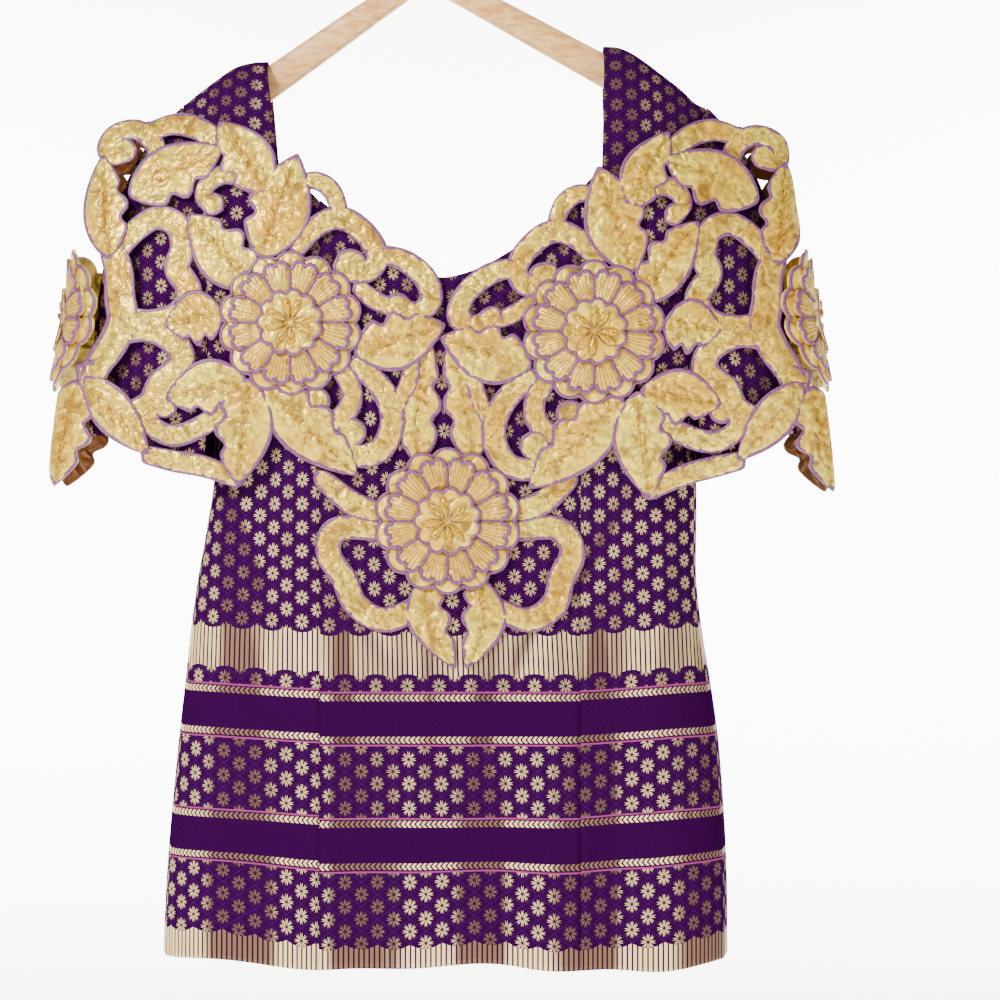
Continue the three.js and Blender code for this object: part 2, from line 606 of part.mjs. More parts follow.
// The hook: one wire, round over the rail and down into the neck, with a collar where it meets the wood.
function hookGeometry() {
  const centreDrop = hook.bend - hook.wire;
  const points = stepped(hook.openFrom, hook.closeAt, 14, (degrees) => {
    const angle = THREE.MathUtils.degToRad(degrees);
    return new THREE.Vector3(hook.bend * Math.cos(angle), 0, hook.bend * Math.sin(angle) - centreDrop);
  });
  const foot = hangerArm[0].top - seamGap;
  points.push(new THREE.Vector3(0.8, 0, -centreDrop - hook.bend - 3));
  points.push(new THREE.Vector3(0, 0, -centreDrop - hook.bend - 8), new THREE.Vector3(0, 0, -foot));
  const wire = new THREE.Shape();
  wire.absellipse(0, 0, hook.wire, hook.wire, 0, 2 * Math.PI);
  const bent = new THREE.ExtrudeGeometry(wire, {
    steps: 28, curveSegments: 2, bevelEnabled: false, extrudePath: new THREE.CatmullRomCurve3(points),
  });
  const collar = new THREE.CylinderGeometry(hook.collar, hook.collar, hook.collarHeight, 12);
  collar.rotateX(Math.PI / 2);
  collar.translate(0, 0, hook.collarHeight / 2 - foot);
  return geometryOf(solidOf(bent).add(solidOf(collar)));
}

const blouse = new THREE.Group();
const garment = new THREE.Group();
const hangerGroup = new THREE.Group();
garment.position.x = garmentShift;
hangerGroup.rotation.y = -THREE.MathUtils.degToRad(hanger.lean);
blouse.add(garment, hangerGroup);

function addPiece(parent, name, geometry, slot) {
  const mesh = new THREE.Mesh(geometry, materials[slot]);
  mesh.name = name;
  parent.add(mesh);
}

for (const [name, solid] of bodyPanels()) addPiece(garment, name, geometryOf(solid), 'brocade');
for (const [name, hand] of [['left', -1], ['right', 1]]) {
  addPiece(garment, `sleeve_${name}`, sleeveGeometry(hand), 'brocade');
  addPiece(garment, `under_sleeve_${name}`, underSleeveGeometry(hand), 'brocade');
}
for (const [name, solid] of cutwork()) addPiece(garment, name, geometryOf(solid), 'satin');
for (const flower of flowers) {
  const seat = flowerSeat(flower);
  for (const row of flowerLayers)
    addPiece(garment, `flower_${flower.name}_${row.name}`,
      flowerLayerGeometry(seat, flower.radius * row.size, flower.on === 'edge' ? [0.35, 0.7, 1] : [0.55, 1], row), row.slot);
}
addPiece(hangerGroup, 'hanger_wood', hangerGeometry(), 'wood');
addPiece(hangerGroup, 'hanger_hook', hookGeometry(), 'steel');

export default blouse;
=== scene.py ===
# A short-sleeved brocade blouse with a satin cutwork yoke, on a wooden coat hanger.
# Sizes are in millimetres in the garment's own frame: x from its centre front, drops below the rail.
import math

import bpy
import numpy as np
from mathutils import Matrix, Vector, noise
from mathutils.bvhtree import BVHTree


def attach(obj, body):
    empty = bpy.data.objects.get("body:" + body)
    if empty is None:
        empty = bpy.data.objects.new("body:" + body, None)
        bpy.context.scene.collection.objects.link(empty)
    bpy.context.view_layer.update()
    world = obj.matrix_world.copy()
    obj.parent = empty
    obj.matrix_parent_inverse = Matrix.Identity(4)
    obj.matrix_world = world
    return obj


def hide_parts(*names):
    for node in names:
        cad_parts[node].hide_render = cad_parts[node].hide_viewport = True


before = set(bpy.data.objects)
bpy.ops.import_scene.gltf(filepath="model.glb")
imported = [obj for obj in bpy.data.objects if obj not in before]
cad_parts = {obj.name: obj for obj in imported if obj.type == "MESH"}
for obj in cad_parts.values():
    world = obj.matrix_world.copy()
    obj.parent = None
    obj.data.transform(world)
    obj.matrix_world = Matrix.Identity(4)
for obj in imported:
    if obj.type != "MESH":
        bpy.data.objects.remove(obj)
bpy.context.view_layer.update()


def colour(hexValue):  # sRGB hex to linear
    parts = [int(hexValue[i : i + 2], 16) / 255 for i in (1, 3, 5)]
    return [p / 12.92 if p <= 0.04045 else ((p + 0.055) / 1.055) ** 2.4 for p in parts] + [1]


# A node with its settings, its values and its links. A node given as a value links its first output.
# A kind that doesn't hold the word Node is a shader node's.
def addNode(tree, kind, inputs=None, **settings):
    node = tree.nodes.new(kind if "Node" in kind else "ShaderNode" + kind)
    for key, value in settings.items():
        setattr(node, key, value)
    for key, value in (inputs or {}).items():
        if isinstance(value, bpy.types.Node):
            value = value.outputs[0]
        if isinstance(value, bpy.types.NodeSocket):
            tree.links.new(value, node.inputs[key])
        else:
            node.inputs[key].default_value = value
    return node


def smooth(value, low, high):
    t = np.clip((value - low) / (high - low), 0, 1)
    return t * t * (3 - 2 * t)


def lerp(a, b, t):
    return a + (b - a) * t


# The garment's form, on the same lines as the solids.
garmentShift = 17.5
clothThickness = 1.2
seamGap = 0.3
hemDrop = 751
underarm = 386
princess = {"left": 84, "right": 93.5}
neck = {"middle": -2, "point": 284, "rise": 77, "halfWidth": 110, "backDip": 9, "backInset": 6}
neckCurve = {"left": 1.25, "right": 1.7}
strapTop = {"left": 123.5, "right": 110.5}
strapFrom = 132
bodyRings = {
    "drop": (120, 255, 315, 386, 424, 456, 490, 526, 563, 608, 687, 770),
    "left": (160, 160, 160, 160, 162, 167, 173, 178, 182, 187, 194, 198),
    "right": (165, 165, 167, 173, 176, 176, 176, 180, 186, 192, 197, 198),
    "front": (50, 54, 58, 54, 50, 49, 48, 49, 51, 53, 57, 60),
    "back": (42, 43, 45, 46, 45, 44, 44, 45, 47, 49, 53, 56),
}
shellRings = {
    "drop": (170, 205, 256, 309, 350, 392, 430),
    "left": (249, 252, 253, 254.5, 265, 271, 275),
    "right": (240, 241, 247, 250.5, 261, 267, 271),
}
sleeveRings = {
    "drop": (160, 184, 225, 281, 337, 400),
    "left": (184, 206, 227, 240, 246, 249),
    "right": (184, 204, 224, 236, 242, 247),
}
shoulderLine = {
    "x": (0, 122, 134, 147, 160, 172, 184, 200, 232, 245, 250),
    "left": (128, 128, 128.5, 132, 140.5, 149.5, 158.5, 162, 165, 171, 178),
    "right": (117.5, 117.5, 121, 129, 138.5, 147.5, 158, 162, 165, 171, 178),
}
armhole = {
    "drop": (140, 158, 180, 215, 260, 320, 360, 386, 424),
    "left": (185, 183, 175, 167, 162, 160, 160, 161, 163),
    "right": (185, 183, 175, 167, 164, 165, 170, 174, 177),
}
# Soft vertical folds: place, spread, how far out, and where they start.
folds = {
    -1: ((-160, 26, 4, 420), (-117, 22, -5, 430), (-80, 20, 4, 470), (-34, 28, -2.5, 560), (6, 24, 2.5, 560),
         (43, 18, -4, 540), (80, 24, 4, 450), (118, 19, -5, 430), (158, 24, 3.5, 420)),
    1: ((-140, 24, -4, 400), (-85, 30, 5, 440), (-30, 22, -3, 520), (20, 26, 3, 500), (76, 24, -5, 420),
        (130, 28, 4.5, 450)),
}
handName = {-1: "left", 1: "right"}


# One column of a table at any place between its rows, on a smooth curve.
def along(table, column, at, axis="drop"):
    xs, ys = np.array(table[axis], float), np.array(table[column], float)
    at = np.clip(at, xs[0], xs[-1])
    i = np.clip(np.searchsorted(xs, at, side="right") - 1, 0, len(xs) - 2)
    last = len(xs) - 1
    k = np.arange(len(xs))
    before, after = np.maximum(k - 1, 0), np.minimum(k + 1, last)
    slopes = (ys[after] - ys[before]) / (xs[after] - xs[before])
    span = xs[i + 1] - xs[i]
    t = (at - xs[i]) / span
    p, q, m, n = ys[i], ys[i + 1], slopes[i] * span, slopes[i + 1] * span
    return p + t * (m + t * (3 * (q - p) - 2 * m - n + t * (2 * (p - q) + m + n)))


def bySide(table, x, at, axis="drop"):
    return np.where(x < 0, along(table, "left", at, axis), along(table, "right", at, axis))


def shellWidth(drop, x):
    return bySide(shellRings, x, drop)


def bodyWidth(drop, x):
    return lerp(shellWidth(drop, x), bySide(bodyRings, x, drop), smooth(drop, 330, underarm))


def shoulderDrop(share):
    return bySide(shoulderLine, share, np.abs(share) * 250, "x")


def frontNeck(x):
    share = np.abs(x - neck["middle"]) / neck["halfWidth"]
    power = np.where(x < neck["middle"], neckCurve["left"], neckCurve["right"])
    return neck["point"] - neck["rise"] * share**power


def planShare(share):
    return np.maximum(0, 1 - share**3) ** (1 / 3)


def archShare(below):
    left = 1 - np.clip(below / 130, 0, 1)
    return (1 - left**1.8) ** (1 / 1.8)


def foldAt(x, drop, side):
    return sum(out * np.exp(-(((x - at) / spread) ** 2)) * smooth(drop, start, hemDrop)
               for at, spread, out, start in folds[side])


def clothPoint(widthAt, side, share, drop, out):
    x = share * (widthAt(drop, share) + out)
    depth = along(bodyRings, "front" if side < 0 else "back", drop) + out
    plan = planShare(np.abs(share))
    y = depth * archShare(drop - shoulderDrop(share) + out) * plan + foldAt(x, drop, side) * plan
    return np.stack(np.broadcast_arrays(x, side * (seamGap / 2 + y), -drop), -1)


def clothPointAt(widthAt, side, x, drop, out):
    share = np.clip(x / (widthAt(drop, x) + out), -1, 1)
    return clothPoint(widthAt, side, share, drop, out)


# A mesh object at the origin from points in millimetres, its faces smooth.
def addMesh(name, points, faces, materials, faceMaterials=None, weave=None, tint=None, shift=garmentShift):
    points = np.asarray(points, float).reshape(-1, 3)
    mesh = bpy.data.meshes.new(name)
    placed = (points + (shift, 0, 0)) / 1000
    mesh.from_pydata(placed.tolist(), [], [tuple(face) for face in faces])
    for material in materials:
        mesh.materials.append(material)
    if faceMaterials is not None:
        mesh.polygons.foreach_set("material_index", np.asarray(faceMaterials, np.int32))
    for key, values in (("weave", weave), ("tint", tint)):
        if values is not None:
            layer = mesh.attributes.new(key, "FLOAT_VECTOR", "POINT")
            layer.data.foreach_set("vector", np.asarray(values, np.float32).ravel())
    mesh.polygons.foreach_set("use_smooth", np.ones(len(mesh.polygons), bool))
    mesh.update()
    piece = bpy.data.objects.new(name, mesh)
    bpy.context.scene.collection.objects.link(piece)
    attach(piece, "root")
    return piece


# Faces of a grid of points, row after row.
def quads(rows, columns, start=0, closed=False):
    r, c = np.meshgrid(np.arange(rows - 1), np.arange(columns if closed else columns - 1), indexing="ij")
    n = (c + 1) % columns
    a, b = r * columns + c, r * columns + n
    return (np.stack([a, b, b + columns, a + columns], -1).reshape(-1, 4) + start).tolist()


# Collects separate small meshes that end in one object.
class Parts:
    def __init__(self):
        self.points, self.faces, self.tints, self.count = [], [], [], 0

    def add(self, points, faces, tint=None):
        points = np.asarray(points, float).reshape(-1, 3)
        self.points.append(points)
        self.faces.extend([[i + self.count for i in face] for face in faces])
        self.tints.append(np.zeros((len(points), 3)) if tint is None else np.asarray(tint, float).reshape(-1, 3))
        self.count += len(points)

    def build(self, name, material):
        return addMesh(name, np.concatenate(self.points), self.faces, [material], tint=np.concatenate(self.tints))


# Six times the volume that a list of quads holds.
def signedVolume(points, faces):
    p = np.asarray(points, float).reshape(-1, 3)
    f = np.asarray([face for face in faces if len(face) == 4])
    a, b, c, d = (p[f[:, i]] for i in range(4))
    return float((a * np.cross(b, c)).sum() + (a * np.cross(c, d)).sum())


def facingOut(points, faces):
    if faces and signedVolume(points, faces) < 0:
        return [face[::-1] for face in faces]
    return faces


# The same for an open cloth, told by one of its quads: side is -1 for the front and 1 for the back.
def facingSide(grid, faces, row, column, side):
    a, b, c = grid[row, column], grid[row, column + 1], grid[row + 1, column]
    return [face[::-1] for face in faces] if np.cross(b - a, c - a)[1] * side < 0 else faces


# The cloth's thickness, and the CAD node that the piece takes the place of.
def finishCloth(piece, node, offset=-1):
    wall = piece.modifiers.new("thickness", "SOLIDIFY")
    wall.thickness = clothThickness / 1000
    wall.offset = offset
    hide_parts(node)
    return piece


# A sewn cord along a line on a surface: rings whose heights alternate, as the threads of a satin stitch do.
cord = {"sides": 6, "roundness": 0.55, "sink": 0.16}


def sewnCord(parts, points, kept, closed):
    n, sides = points.shape[:2]
    faces = []
    for i in range(n if closed else n - 1):
        j = (i + 1) % n
        if kept[i] and kept[j]:
            faces += [[i * sides + q, j * sides + q, j * sides + (q + 1) % sides, i * sides + (q + 1) % sides]
                      for q in range(sides)]
    if not faces:
        return
    if not closed:
        faces += [list(range(sides)), list(range((n - 1) * sides, n * sides))[::-1]]
    parts.add(points, facingOut(points, faces))


# Camera, at the height of the frame's middle and straight in front.
camera = {"x": 56, "z": -434.6, "distance": 1700, "frameWidth": 700}
cameraData = bpy.data.cameras.new("camera")
cameraData.sensor_width = 36
cameraData.lens = 36 * camera["distance"] / camera["frameWidth"]
cameraData.clip_end = 50
cameraObject = bpy.data.objects.new("camera", cameraData)
cameraObject.location = (camera["x"] / 1000, -camera["distance"] / 1000, camera["z"] / 1000)
cameraObject.rotation_euler = (math.pi / 2, 0, 0)
bpy.context.scene.collection.objects.link(cameraObject)
bpy.context.scene.camera = cameraObject
print("camera placed")


# Brocade: a purple satin-weave ground with flowers, stripes and small borders in flat gold thread.
# Besides its real metallic shine, the gold has painted highlight and painted shade: bright where a fold faces the
# light, a painted shaded gold where it turns away.
brocade = {
    "ground": "#220029", "groundLight": "#34003E", "lattice": "#3A1050", "pink": "#8E3A6A",
    "gold": "#FFDF9C", "shadedGold": "#4E2E20", "column": 11.0, "row": 8.25, "flower": (5.5, 6.0),
    "stripe": 3.5, "stripeShare": 0.66, "leaflet": 0.31, "parting": 0.14, "scallop": 3.2,
    "waistStripes": (524, 556), "hemStripesFrom": 735, "border": 569, "borderStep": 28.4, "chevronLean": -0.26,
    "chevronShare": 0.58, "dim": (130, 430),
}
# Where each kind of band lies, as drops below the rail; the rest is plain.
bands = {
    "flowers": ((0, 564.8), (601.8, 650), (687, 900)),
    "pink": ((564.8, 566), (600.6, 601.8), (650, 651.2), (685.8, 687)),
    "chevron": ((566.8, 571.2), (595.2, 599.6), (652, 656.4), (680.4, 684.8)),
}


def bandMask(tree, drop, kind):
    total = 0.0
    for start, end in bands[kind]:
        here = addNode(tree, "Math", {0: drop, 1: (start + end) / 2, 2: (end - start) / 2}, operation="COMPARE")
        total = addNode(tree, "Math", {0: here, 1: total}, operation="MAXIMUM")
    return total


def newMaterial(name):
    material = bpy.data.materials.new(name)
    material.use_nodes = True
    tree = material.node_tree
    return material, tree, tree.nodes["Principled BSDF"]


def makeBrocade():
    material, tree, surface = newMaterial("goldBrocade")
    weave = addNode(tree, "Attribute", attribute_name="weave").outputs["Vector"]
    place = addNode(tree, "SeparateXYZ", {0: weave})
    across, drop = place.outputs[0], place.outputs[1]
    column, row = brocade["column"], brocade["row"]
    cell = {1: (column, row, 1), 2: (-column, -row, -1)}
    near = addNode(tree, "VectorMath", {0: weave, **cell}, operation="WRAP")
    moved = addNode(tree, "VectorMath", {0: weave, 1: (column, row, 0)}, operation="ADD")
    far = addNode(tree, "VectorMath", {0: moved, **cell}, operation="WRAP")
    size = (*brocade["flower"], 1e6)
    flowerA = addNode(tree, "VectorMath", {0: near, 1: size}, operation="DIVIDE")
    flowerB = addNode(tree, "VectorMath", {0: far, 1: size}, operation="DIVIDE")
    reachA = addNode(tree, "VectorMath", {0: flowerA}, operation="LENGTH").outputs["Value"]
    reachB = addNode(tree, "VectorMath", {0: flowerB}, operation="LENGTH").outputs["Value"]
    nearer = addNode(tree, "Math", {0: reachA, 1: reachB}, operation="LESS_THAN")
    local = addNode(tree, "Mix", {0: nearer, 4: flowerB, 5: flowerA}, data_type="VECTOR").outputs[1]
    spot = addNode(tree, "SeparateXYZ", {0: local})
    angle = addNode(tree, "Math", {0: spot.outputs[1], 1: spot.outputs[0]}, operation="ARCTAN2")
    reach = addNode(tree, "Math", {0: reachA, 1: reachB}, operation="MINIMUM")
    turn = addNode(tree, "Math", {0: angle, 1: math.pi / 8, 2: -math.pi / 8}, operation="WRAP")
    sine = addNode(tree, "Math", {0: turn}, operation="SINE")
    aside = addNode(tree, "Math", {0: addNode(tree, "Math", {0: reach, 1: sine}, operation="MULTIPLY")},
                    operation="ABSOLUTE")
    inner = addNode(tree, "Math", {0: reach, 1: 0.1}, operation="SUBTRACT")
    outer = addNode(tree, "Math", {0: 1.0, 1: reach}, operation="SUBTRACT")
    swell = addNode(tree, "Math", {0: inner, 1: outer}, operation="MULTIPLY")
    # Each of the eight petals is a pair of slim leaflets that part towards their tips.
    wide = addNode(tree, "Math", {0: swell, 1: brocade["leaflet"]}, operation="MULTIPLY")
    parted = addNode(tree, "Math", {0: reach, 1: brocade["parting"]}, operation="MULTIPLY")
    offLeaf = addNode(tree, "Math", {0: addNode(tree, "Math", {0: aside, 1: parted}, operation="SUBTRACT")},
                      operation="ABSOLUTE")
    petals = addNode(tree, "MapRange", {0: addNode(tree, "Math", {0: wide, 1: offLeaf}, operation="SUBTRACT"),
                                        1: 0.0, 2: 0.035})
    # Stripe bands have scalloped edges: arcs of ground round the flowers, with cusps between them.
    sweep = addNode(tree, "Math", {0: across, 1: math.pi / 2 / column}, operation="MULTIPLY")
    arcs = [addNode(tree, "Math", {0: addNode(tree, "Math", {0: sweep}, operation=kind)},
                    operation="ABSOLUTE") for kind in ("SINE", "COSINE")]
    upper, lower = (addNode(tree, "Math", {0: arc, 1: brocade["scallop"] * way, 2: drop}, operation="MULTIPLY_ADD")
                    for arc, way in zip(arcs, (-1, 1)))
    waistTop, waistFoot = brocade["waistStripes"]
    belowTop = addNode(tree, "Math", {0: upper, 1: waistTop}, operation="GREATER_THAN")
    aboveFoot = addNode(tree, "Math", {0: lower, 1: waistFoot}, operation="LESS_THAN")
    waist = addNode(tree, "Math", {0: belowTop, 1: aboveFoot}, operation="MULTIPLY")
    hemEdge = addNode(tree, "Math", {0: upper, 1: brocade["hemStripesFrom"]}, operation="GREATER_THAN")
    striped = addNode(tree, "Math", {0: waist, 1: hemEdge}, operation="MAXIMUM")
    bare = addNode(tree, "Math", {0: 1.0, 1: striped}, operation="SUBTRACT")
    flowered = addNode(tree, "Math", {0: bandMask(tree, drop, "flowers"), 1: bare}, operation="MULTIPLY")
    flowers = addNode(tree, "Math", {0: petals, 1: flowered}, operation="MULTIPLY")
    # The thin lines between the flowers.
    quarter = addNode(tree, "VectorMath", {0: near}, operation="ABSOLUTE")
    diamond = addNode(tree, "VectorMath", {0: quarter, 1: (1 / column, 1 / row, 0)}, operation="DOT_PRODUCT")
    pastLine = addNode(tree, "Math", {0: diamond.outputs["Value"], 1: 1}, operation="SUBTRACT")
    offLine = addNode(tree, "Math", {0: pastLine}, operation="ABSOLUTE")
    onLine = addNode(tree, "MapRange", {0: offLine, 1: 0.045, 2: 0.015})
    latticed = addNode(tree, "Math", {0: onLine, 1: flowered}, operation="MULTIPLY")
    # Upright stripes, and the small chevrons of the borders.
    count = addNode(tree, "Math", {0: across, 1: brocade["stripe"]}, operation="DIVIDE")
    beat = addNode(tree, "Math", {0: count}, operation="FRACT")
    stripe = addNode(tree, "Math", {0: beat, 1: brocade["stripeShare"]}, operation="LESS_THAN")
    stripes = addNode(tree, "Math", {0: stripe, 1: striped}, operation="MULTIPLY")
    # The borders' middles lie a fixed step apart, so one wrapped drop serves them all.
    halfStep = brocade["borderStep"] / 2
    fromFirst = addNode(tree, "Math", {0: drop, 1: brocade["border"]}, operation="SUBTRACT")
    aim = addNode(tree, "Math", {0: fromFirst, 1: halfStep, 2: -halfStep}, operation="WRAP")
    fold = addNode(tree, "Math", {0: aim}, operation="ABSOLUTE")
    lean = addNode(tree, "Math", {0: fold, 1: brocade["chevronLean"], 2: count}, operation="MULTIPLY_ADD")
    leaningBeat = addNode(tree, "Math", {0: lean}, operation="FRACT")
    chevron = addNode(tree, "Math", {0: leaningBeat, 1: brocade["chevronShare"]}, operation="LESS_THAN")
    chevrons = addNode(tree, "Math", {0: chevron, 1: bandMask(tree, drop, "chevron")}, operation="MULTIPLY")
    goldA = addNode(tree, "Math", {0: flowers, 1: stripes}, operation="MAXIMUM")
    gold = addNode(tree, "Math", {0: goldA, 1: chevrons}, operation="MAXIMUM")
    # Thread shades: slow changes along the weft, and the ground's own ribs.
    slow = addNode(tree, "VectorMath", {0: weave, 1: (0.036, 0.002, 0)}, operation="MULTIPLY")
    drift = addNode(tree, "TexNoise", {"Vector": slow, "Scale": 1.0, "Detail": 2.0})
    close = addNode(tree, "VectorMath", {0: weave, 1: (0.25, 3.2, 1)}, operation="MULTIPLY")
    thread = addNode(tree, "TexNoise", {"Vector": close, "Scale": 1.0, "Detail": 1.0})
    groundMix = addNode(tree, "Mix", {0: thread, 6: colour(brocade["ground"]), 7: colour(brocade["groundLight"])},
                        data_type="RGBA").outputs[2]
    lined = addNode(tree, "Mix", {0: latticed, 6: groundMix, 7: colour(brocade["lattice"])},
                    data_type="RGBA").outputs[2]
    pinked = addNode(tree, "Mix", {0: bandMask(tree, drop, "pink"), 6: lined, 7: colour(brocade["pink"])},
                     data_type="RGBA").outputs[2]
    # Painted highlight and shade on the gold: bright where a fold faces right, painted shaded gold where it turns to
    # the left, and painted darker towards the top.
    dimmer = addNode(tree, "MapRange", {0: drop, 1: brocade["dim"][0], 2: brocade["dim"][1], 3: -0.16, 4: 0.0})
    drifted = addNode(tree, "Math", {0: drift, 1: dimmer}, operation="ADD")
    slope = addNode(tree, "Math", {0: place.outputs[2], 1: 2.0, 2: drifted}, operation="MULTIPLY_ADD")
    shade = addNode(tree, "MapRange", {0: slope, 1: 0.35, 2: 0.6, 3: 0.14})
    goldMix = addNode(tree, "Mix", {0: shade, 6: colour(brocade["shadedGold"]), 7: colour(brocade["gold"])},
                      data_type="RGBA").outputs[2]
    final = addNode(tree, "Mix", {0: gold, 6: pinked, 7: goldMix}, data_type="RGBA").outputs[2]
    tree.links.new(final, surface.inputs["Base Color"])
    tree.links.new(addNode(tree, "MapRange", {0: gold, 3: 0.8, 4: 0.45}).outputs[0], surface.inputs["Roughness"])
    tree.links.new(addNode(tree, "Math", {0: gold, 1: 0.45}, operation="MULTIPLY").outputs[0],
                   surface.inputs["Metallic"])
    height = addNode(tree, "Math", {0: thread, 1: 0.25, 2: gold}, operation="MULTIPLY_ADD")
    bump = addNode(tree, "Bump", {"Strength": 0.5, "Distance": 0.00025, "Height": height})
    tree.links.new(bump.outputs[0], surface.inputs["Normal"])
    surface.inputs["Specular IOR Level"].default_value = 0.0
    return material


# Polyester satin, stitched down and puckered: a soft, broad shine, with painted shade, warm and dark, in its creases.
satin = {"light": "#FFE24A", "mid": "#EDB324", "paintedShadeColour": "#6A3D12"}


def makeSatin(name, light, mid, paintedShadeColour, roughness=0.36):
    material, tree, surface = newMaterial(name)
    tint = addNode(tree, "SeparateXYZ", {0: addNode(tree, "Attribute", attribute_name="tint").outputs["Vector"]})
    place = addNode(tree, "TexCoord").outputs["Object"]
    drift = addNode(tree, "TexNoise", {"Vector": place, "Scale": 30.0, "Detail": 4.0})
    raised = addNode(tree, "Mix", {0: addNode(tree, "MapRange", {0: drift, 1: 0.35, 2: 0.65}),
                                   6: colour(mid), 7: colour(light)}, data_type="RGBA").outputs[2]
    # Soft creases the size of a fingertip, with painted shade, warm and dark, in their depths.
    crease = addNode(tree, "TexNoise", {"Vector": place, "Scale": 90.0, "Detail": 1.0, "Roughness": 0.4,
                                        "Distortion": 1.1})
    hollow = addNode(tree, "MapRange", {0: crease, 1: 0.5, 2: 0.3, 3: 0.0, 4: 0.75})
    # Painted shade: the dark colour goes where the mesh's painted shade value or the crease noise marks a hollow.
    paintedCreaseShade = addNode(tree, "Math", {0: tint.outputs[0], 1: hollow}, operation="MAXIMUM")
    final = addNode(tree, "Mix", {0: paintedCreaseShade, 6: raised, 7: colour(paintedShadeColour)}, data_type="RGBA").outputs[2]
    tree.links.new(final, surface.inputs["Base Color"])
    bump = addNode(tree, "Bump", {"Strength": 1.0, "Distance": 0.0034, "Height": crease})
    tree.links.new(bump.outputs[0], surface.inputs["Normal"])
    surface.inputs["Metallic"].default_value = 0.36
    surface.inputs["Roughness"].default_value = roughness
    surface.inputs["Sheen Weight"].default_value = 0.06
    return material


# Rayon embroidery thread: a close satin stitch, so each thread shows as a short ridge across the edge.
def makeThread(name, light, dark, metallic=0.0, roughness=0.42):
    material, tree, surface = newMaterial(name)
    place = addNode(tree, "TexCoord").outputs["Object"]
    drift = addNode(tree, "TexNoise", {"Vector": place, "Scale": 700.0, "Detail": 2.0})
    final = addNode(tree, "Mix", {0: addNode(tree, "MapRange", {0: drift, 1: 0.35, 2: 0.65}),
                                  6: colour(dark), 7: colour(light)}, data_type="RGBA").outputs[2]
    tree.links.new(final, surface.inputs["Base Color"])
    surface.inputs["Roughness"].default_value = roughness
    surface.inputs["Metallic"].default_value = metallic
    return material


# Lacquered beech: straight pale grain along the arm, under a thin satin varnish.
beechLook = {"dark": "#CC8A45", "light": "#EEBC76"}


def makeWood():
    material, tree, surface = newMaterial("lacqueredBeech")
    place = addNode(tree, "TexCoord").outputs["Object"]
    stretched = addNode(tree, "Mapping", {0: place, 3: (18, 60, 60)})
    grain = addNode(tree, "TexNoise", {"Vector": stretched, "Scale": 4.0, "Detail": 6.0, "Distortion": 0.6})
    share = addNode(tree, "MapRange", {0: grain, 1: 0.35, 2: 0.65})
    tones = {0: share, 6: colour(beechLook["dark"]), 7: colour(beechLook["light"])}
    final = addNode(tree, "Mix", tones, data_type="RGBA").outputs[2]
    tree.links.new(final, surface.inputs["Base Color"])
    surface.inputs["Roughness"].default_value = 0.45
    surface.inputs["Coat Weight"].default_value = 0.3
    surface.inputs["Coat Roughness"].default_value = 0.25
    return material


# Bright zinc-plated steel wire, drawn and bent: a mirror-like metal, slightly soft.
def makeSteel():
    material, tree, surface = newMaterial("zincPlatedWire")
    surface.inputs["Base Color"].default_value = colour("#C9CCD0")
    surface.inputs["Metallic"].default_value = 1
    surface.inputs["Roughness"].default_value = 0.24
    return material


brocadeCloth = makeBrocade()
satinCloth = makeSatin("puckeredSatin", satin["light"], satin["mid"], satin["paintedShadeColour"])
goldSatin = makeSatin("threadFilledSatin", "#FFDB58", "#E8B030", "#8A5414", 0.4)
lilacThread = makeThread("lilacSatinStitch", "#834A76", "#582C52")
# The quilting stitch is real; its dark tan also stands in as painted shade for the groove the stitch pulls into the
# satin.
quiltThreadAndGrooveShade = makeThread("quiltingThreadAndGrooveShade", "#B08434", "#85601F")
goldThread = makeThread("goldEmbroidery", "#F4BE00", "#7A5000", 0.2, 0.28)
beech = makeWood()
steelWire = makeSteel()
print("materials made")


# The body's panels: each is ruled between its inner and outer cutting lines.
body = {"below": (0, 0.4, 1.2, 2.5, 4.5, 7, 10, 14, 19, 25, 32), "rowStep": 4, "columnStep": 4,
        "top": 128, "centreLength": 470, "halfWidth": 176, "patternFrom": 330, "patternShift": 2.4,
        "sideLift": {-1: (2.2, 5.6), 1: (0.8, 4.5)}, "sewn": 0.02, "hemWave": 2.2}
# Main creases: place across and down, half-length, half-width, lean (radians from upright) and depth.
creases = {
    -1: ((-128, 470, 46, 7, 0.35, -1.3), (-150, 520, 60, 8, 0.1, 1.2), (-96, 610, 70, 9, -0.05, -1.0),
         (-60, 500, 38, 7, 0.5, -0.9), (-18, 640, 60, 10, 0.06, 0.9), (30, 600, 44, 8, -0.12, -0.8),
         (66, 520, 50, 7, -0.4, -1.1), (104, 480, 42, 6, -0.5, -1.2), (142, 560, 70, 8, -0.08, 1.2),
         (120, 660, 52, 9, 0.1, -0.9), (-140, 680, 48, 8, -0.12, -1.0), (60, 690, 40, 9, 0.04, 0.8)),
    1: ((-120, 480, 60, 9, 0.2, -1.3), (-70, 560, 70, 10, -0.1, 1.1), (-20, 430, 44, 8, 0.6, -0.9),
        (24, 620, 66, 9, 0.08, -1.0), (60, 470, 52, 8, -0.3, -1.2), (112, 560, 74, 10, 0.06, 1.2),
        (146, 500, 40, 7, -0.3, -1.0), (-146, 640, 50, 8, 0.08, 1.0), (90, 680, 44, 9, -0.06, -0.8)),
}


def creaseAt(x, drop, side):
    total = 0
    for at, down, length, width, lean, depth in creases[side]:
        dx, dd = x - at, drop - down
        alongIt = dd * math.cos(lean) + dx * math.sin(lean)
        across = dx * math.cos(lean) - dd * math.sin(lean)
        total = total + depth * np.exp(-((alongIt / length) ** 2) - (across / width) ** 2)
    return total


def neckReach(drop, hand):  # how far from the centre the front neckline is at a drop
    power = neckCurve[handName[hand]]
    share = np.clip((neck["point"] - drop) / neck["rise"], 0, 1) ** (1 / power)
    return neck["middle"] * hand + neck["halfWidth"] * share


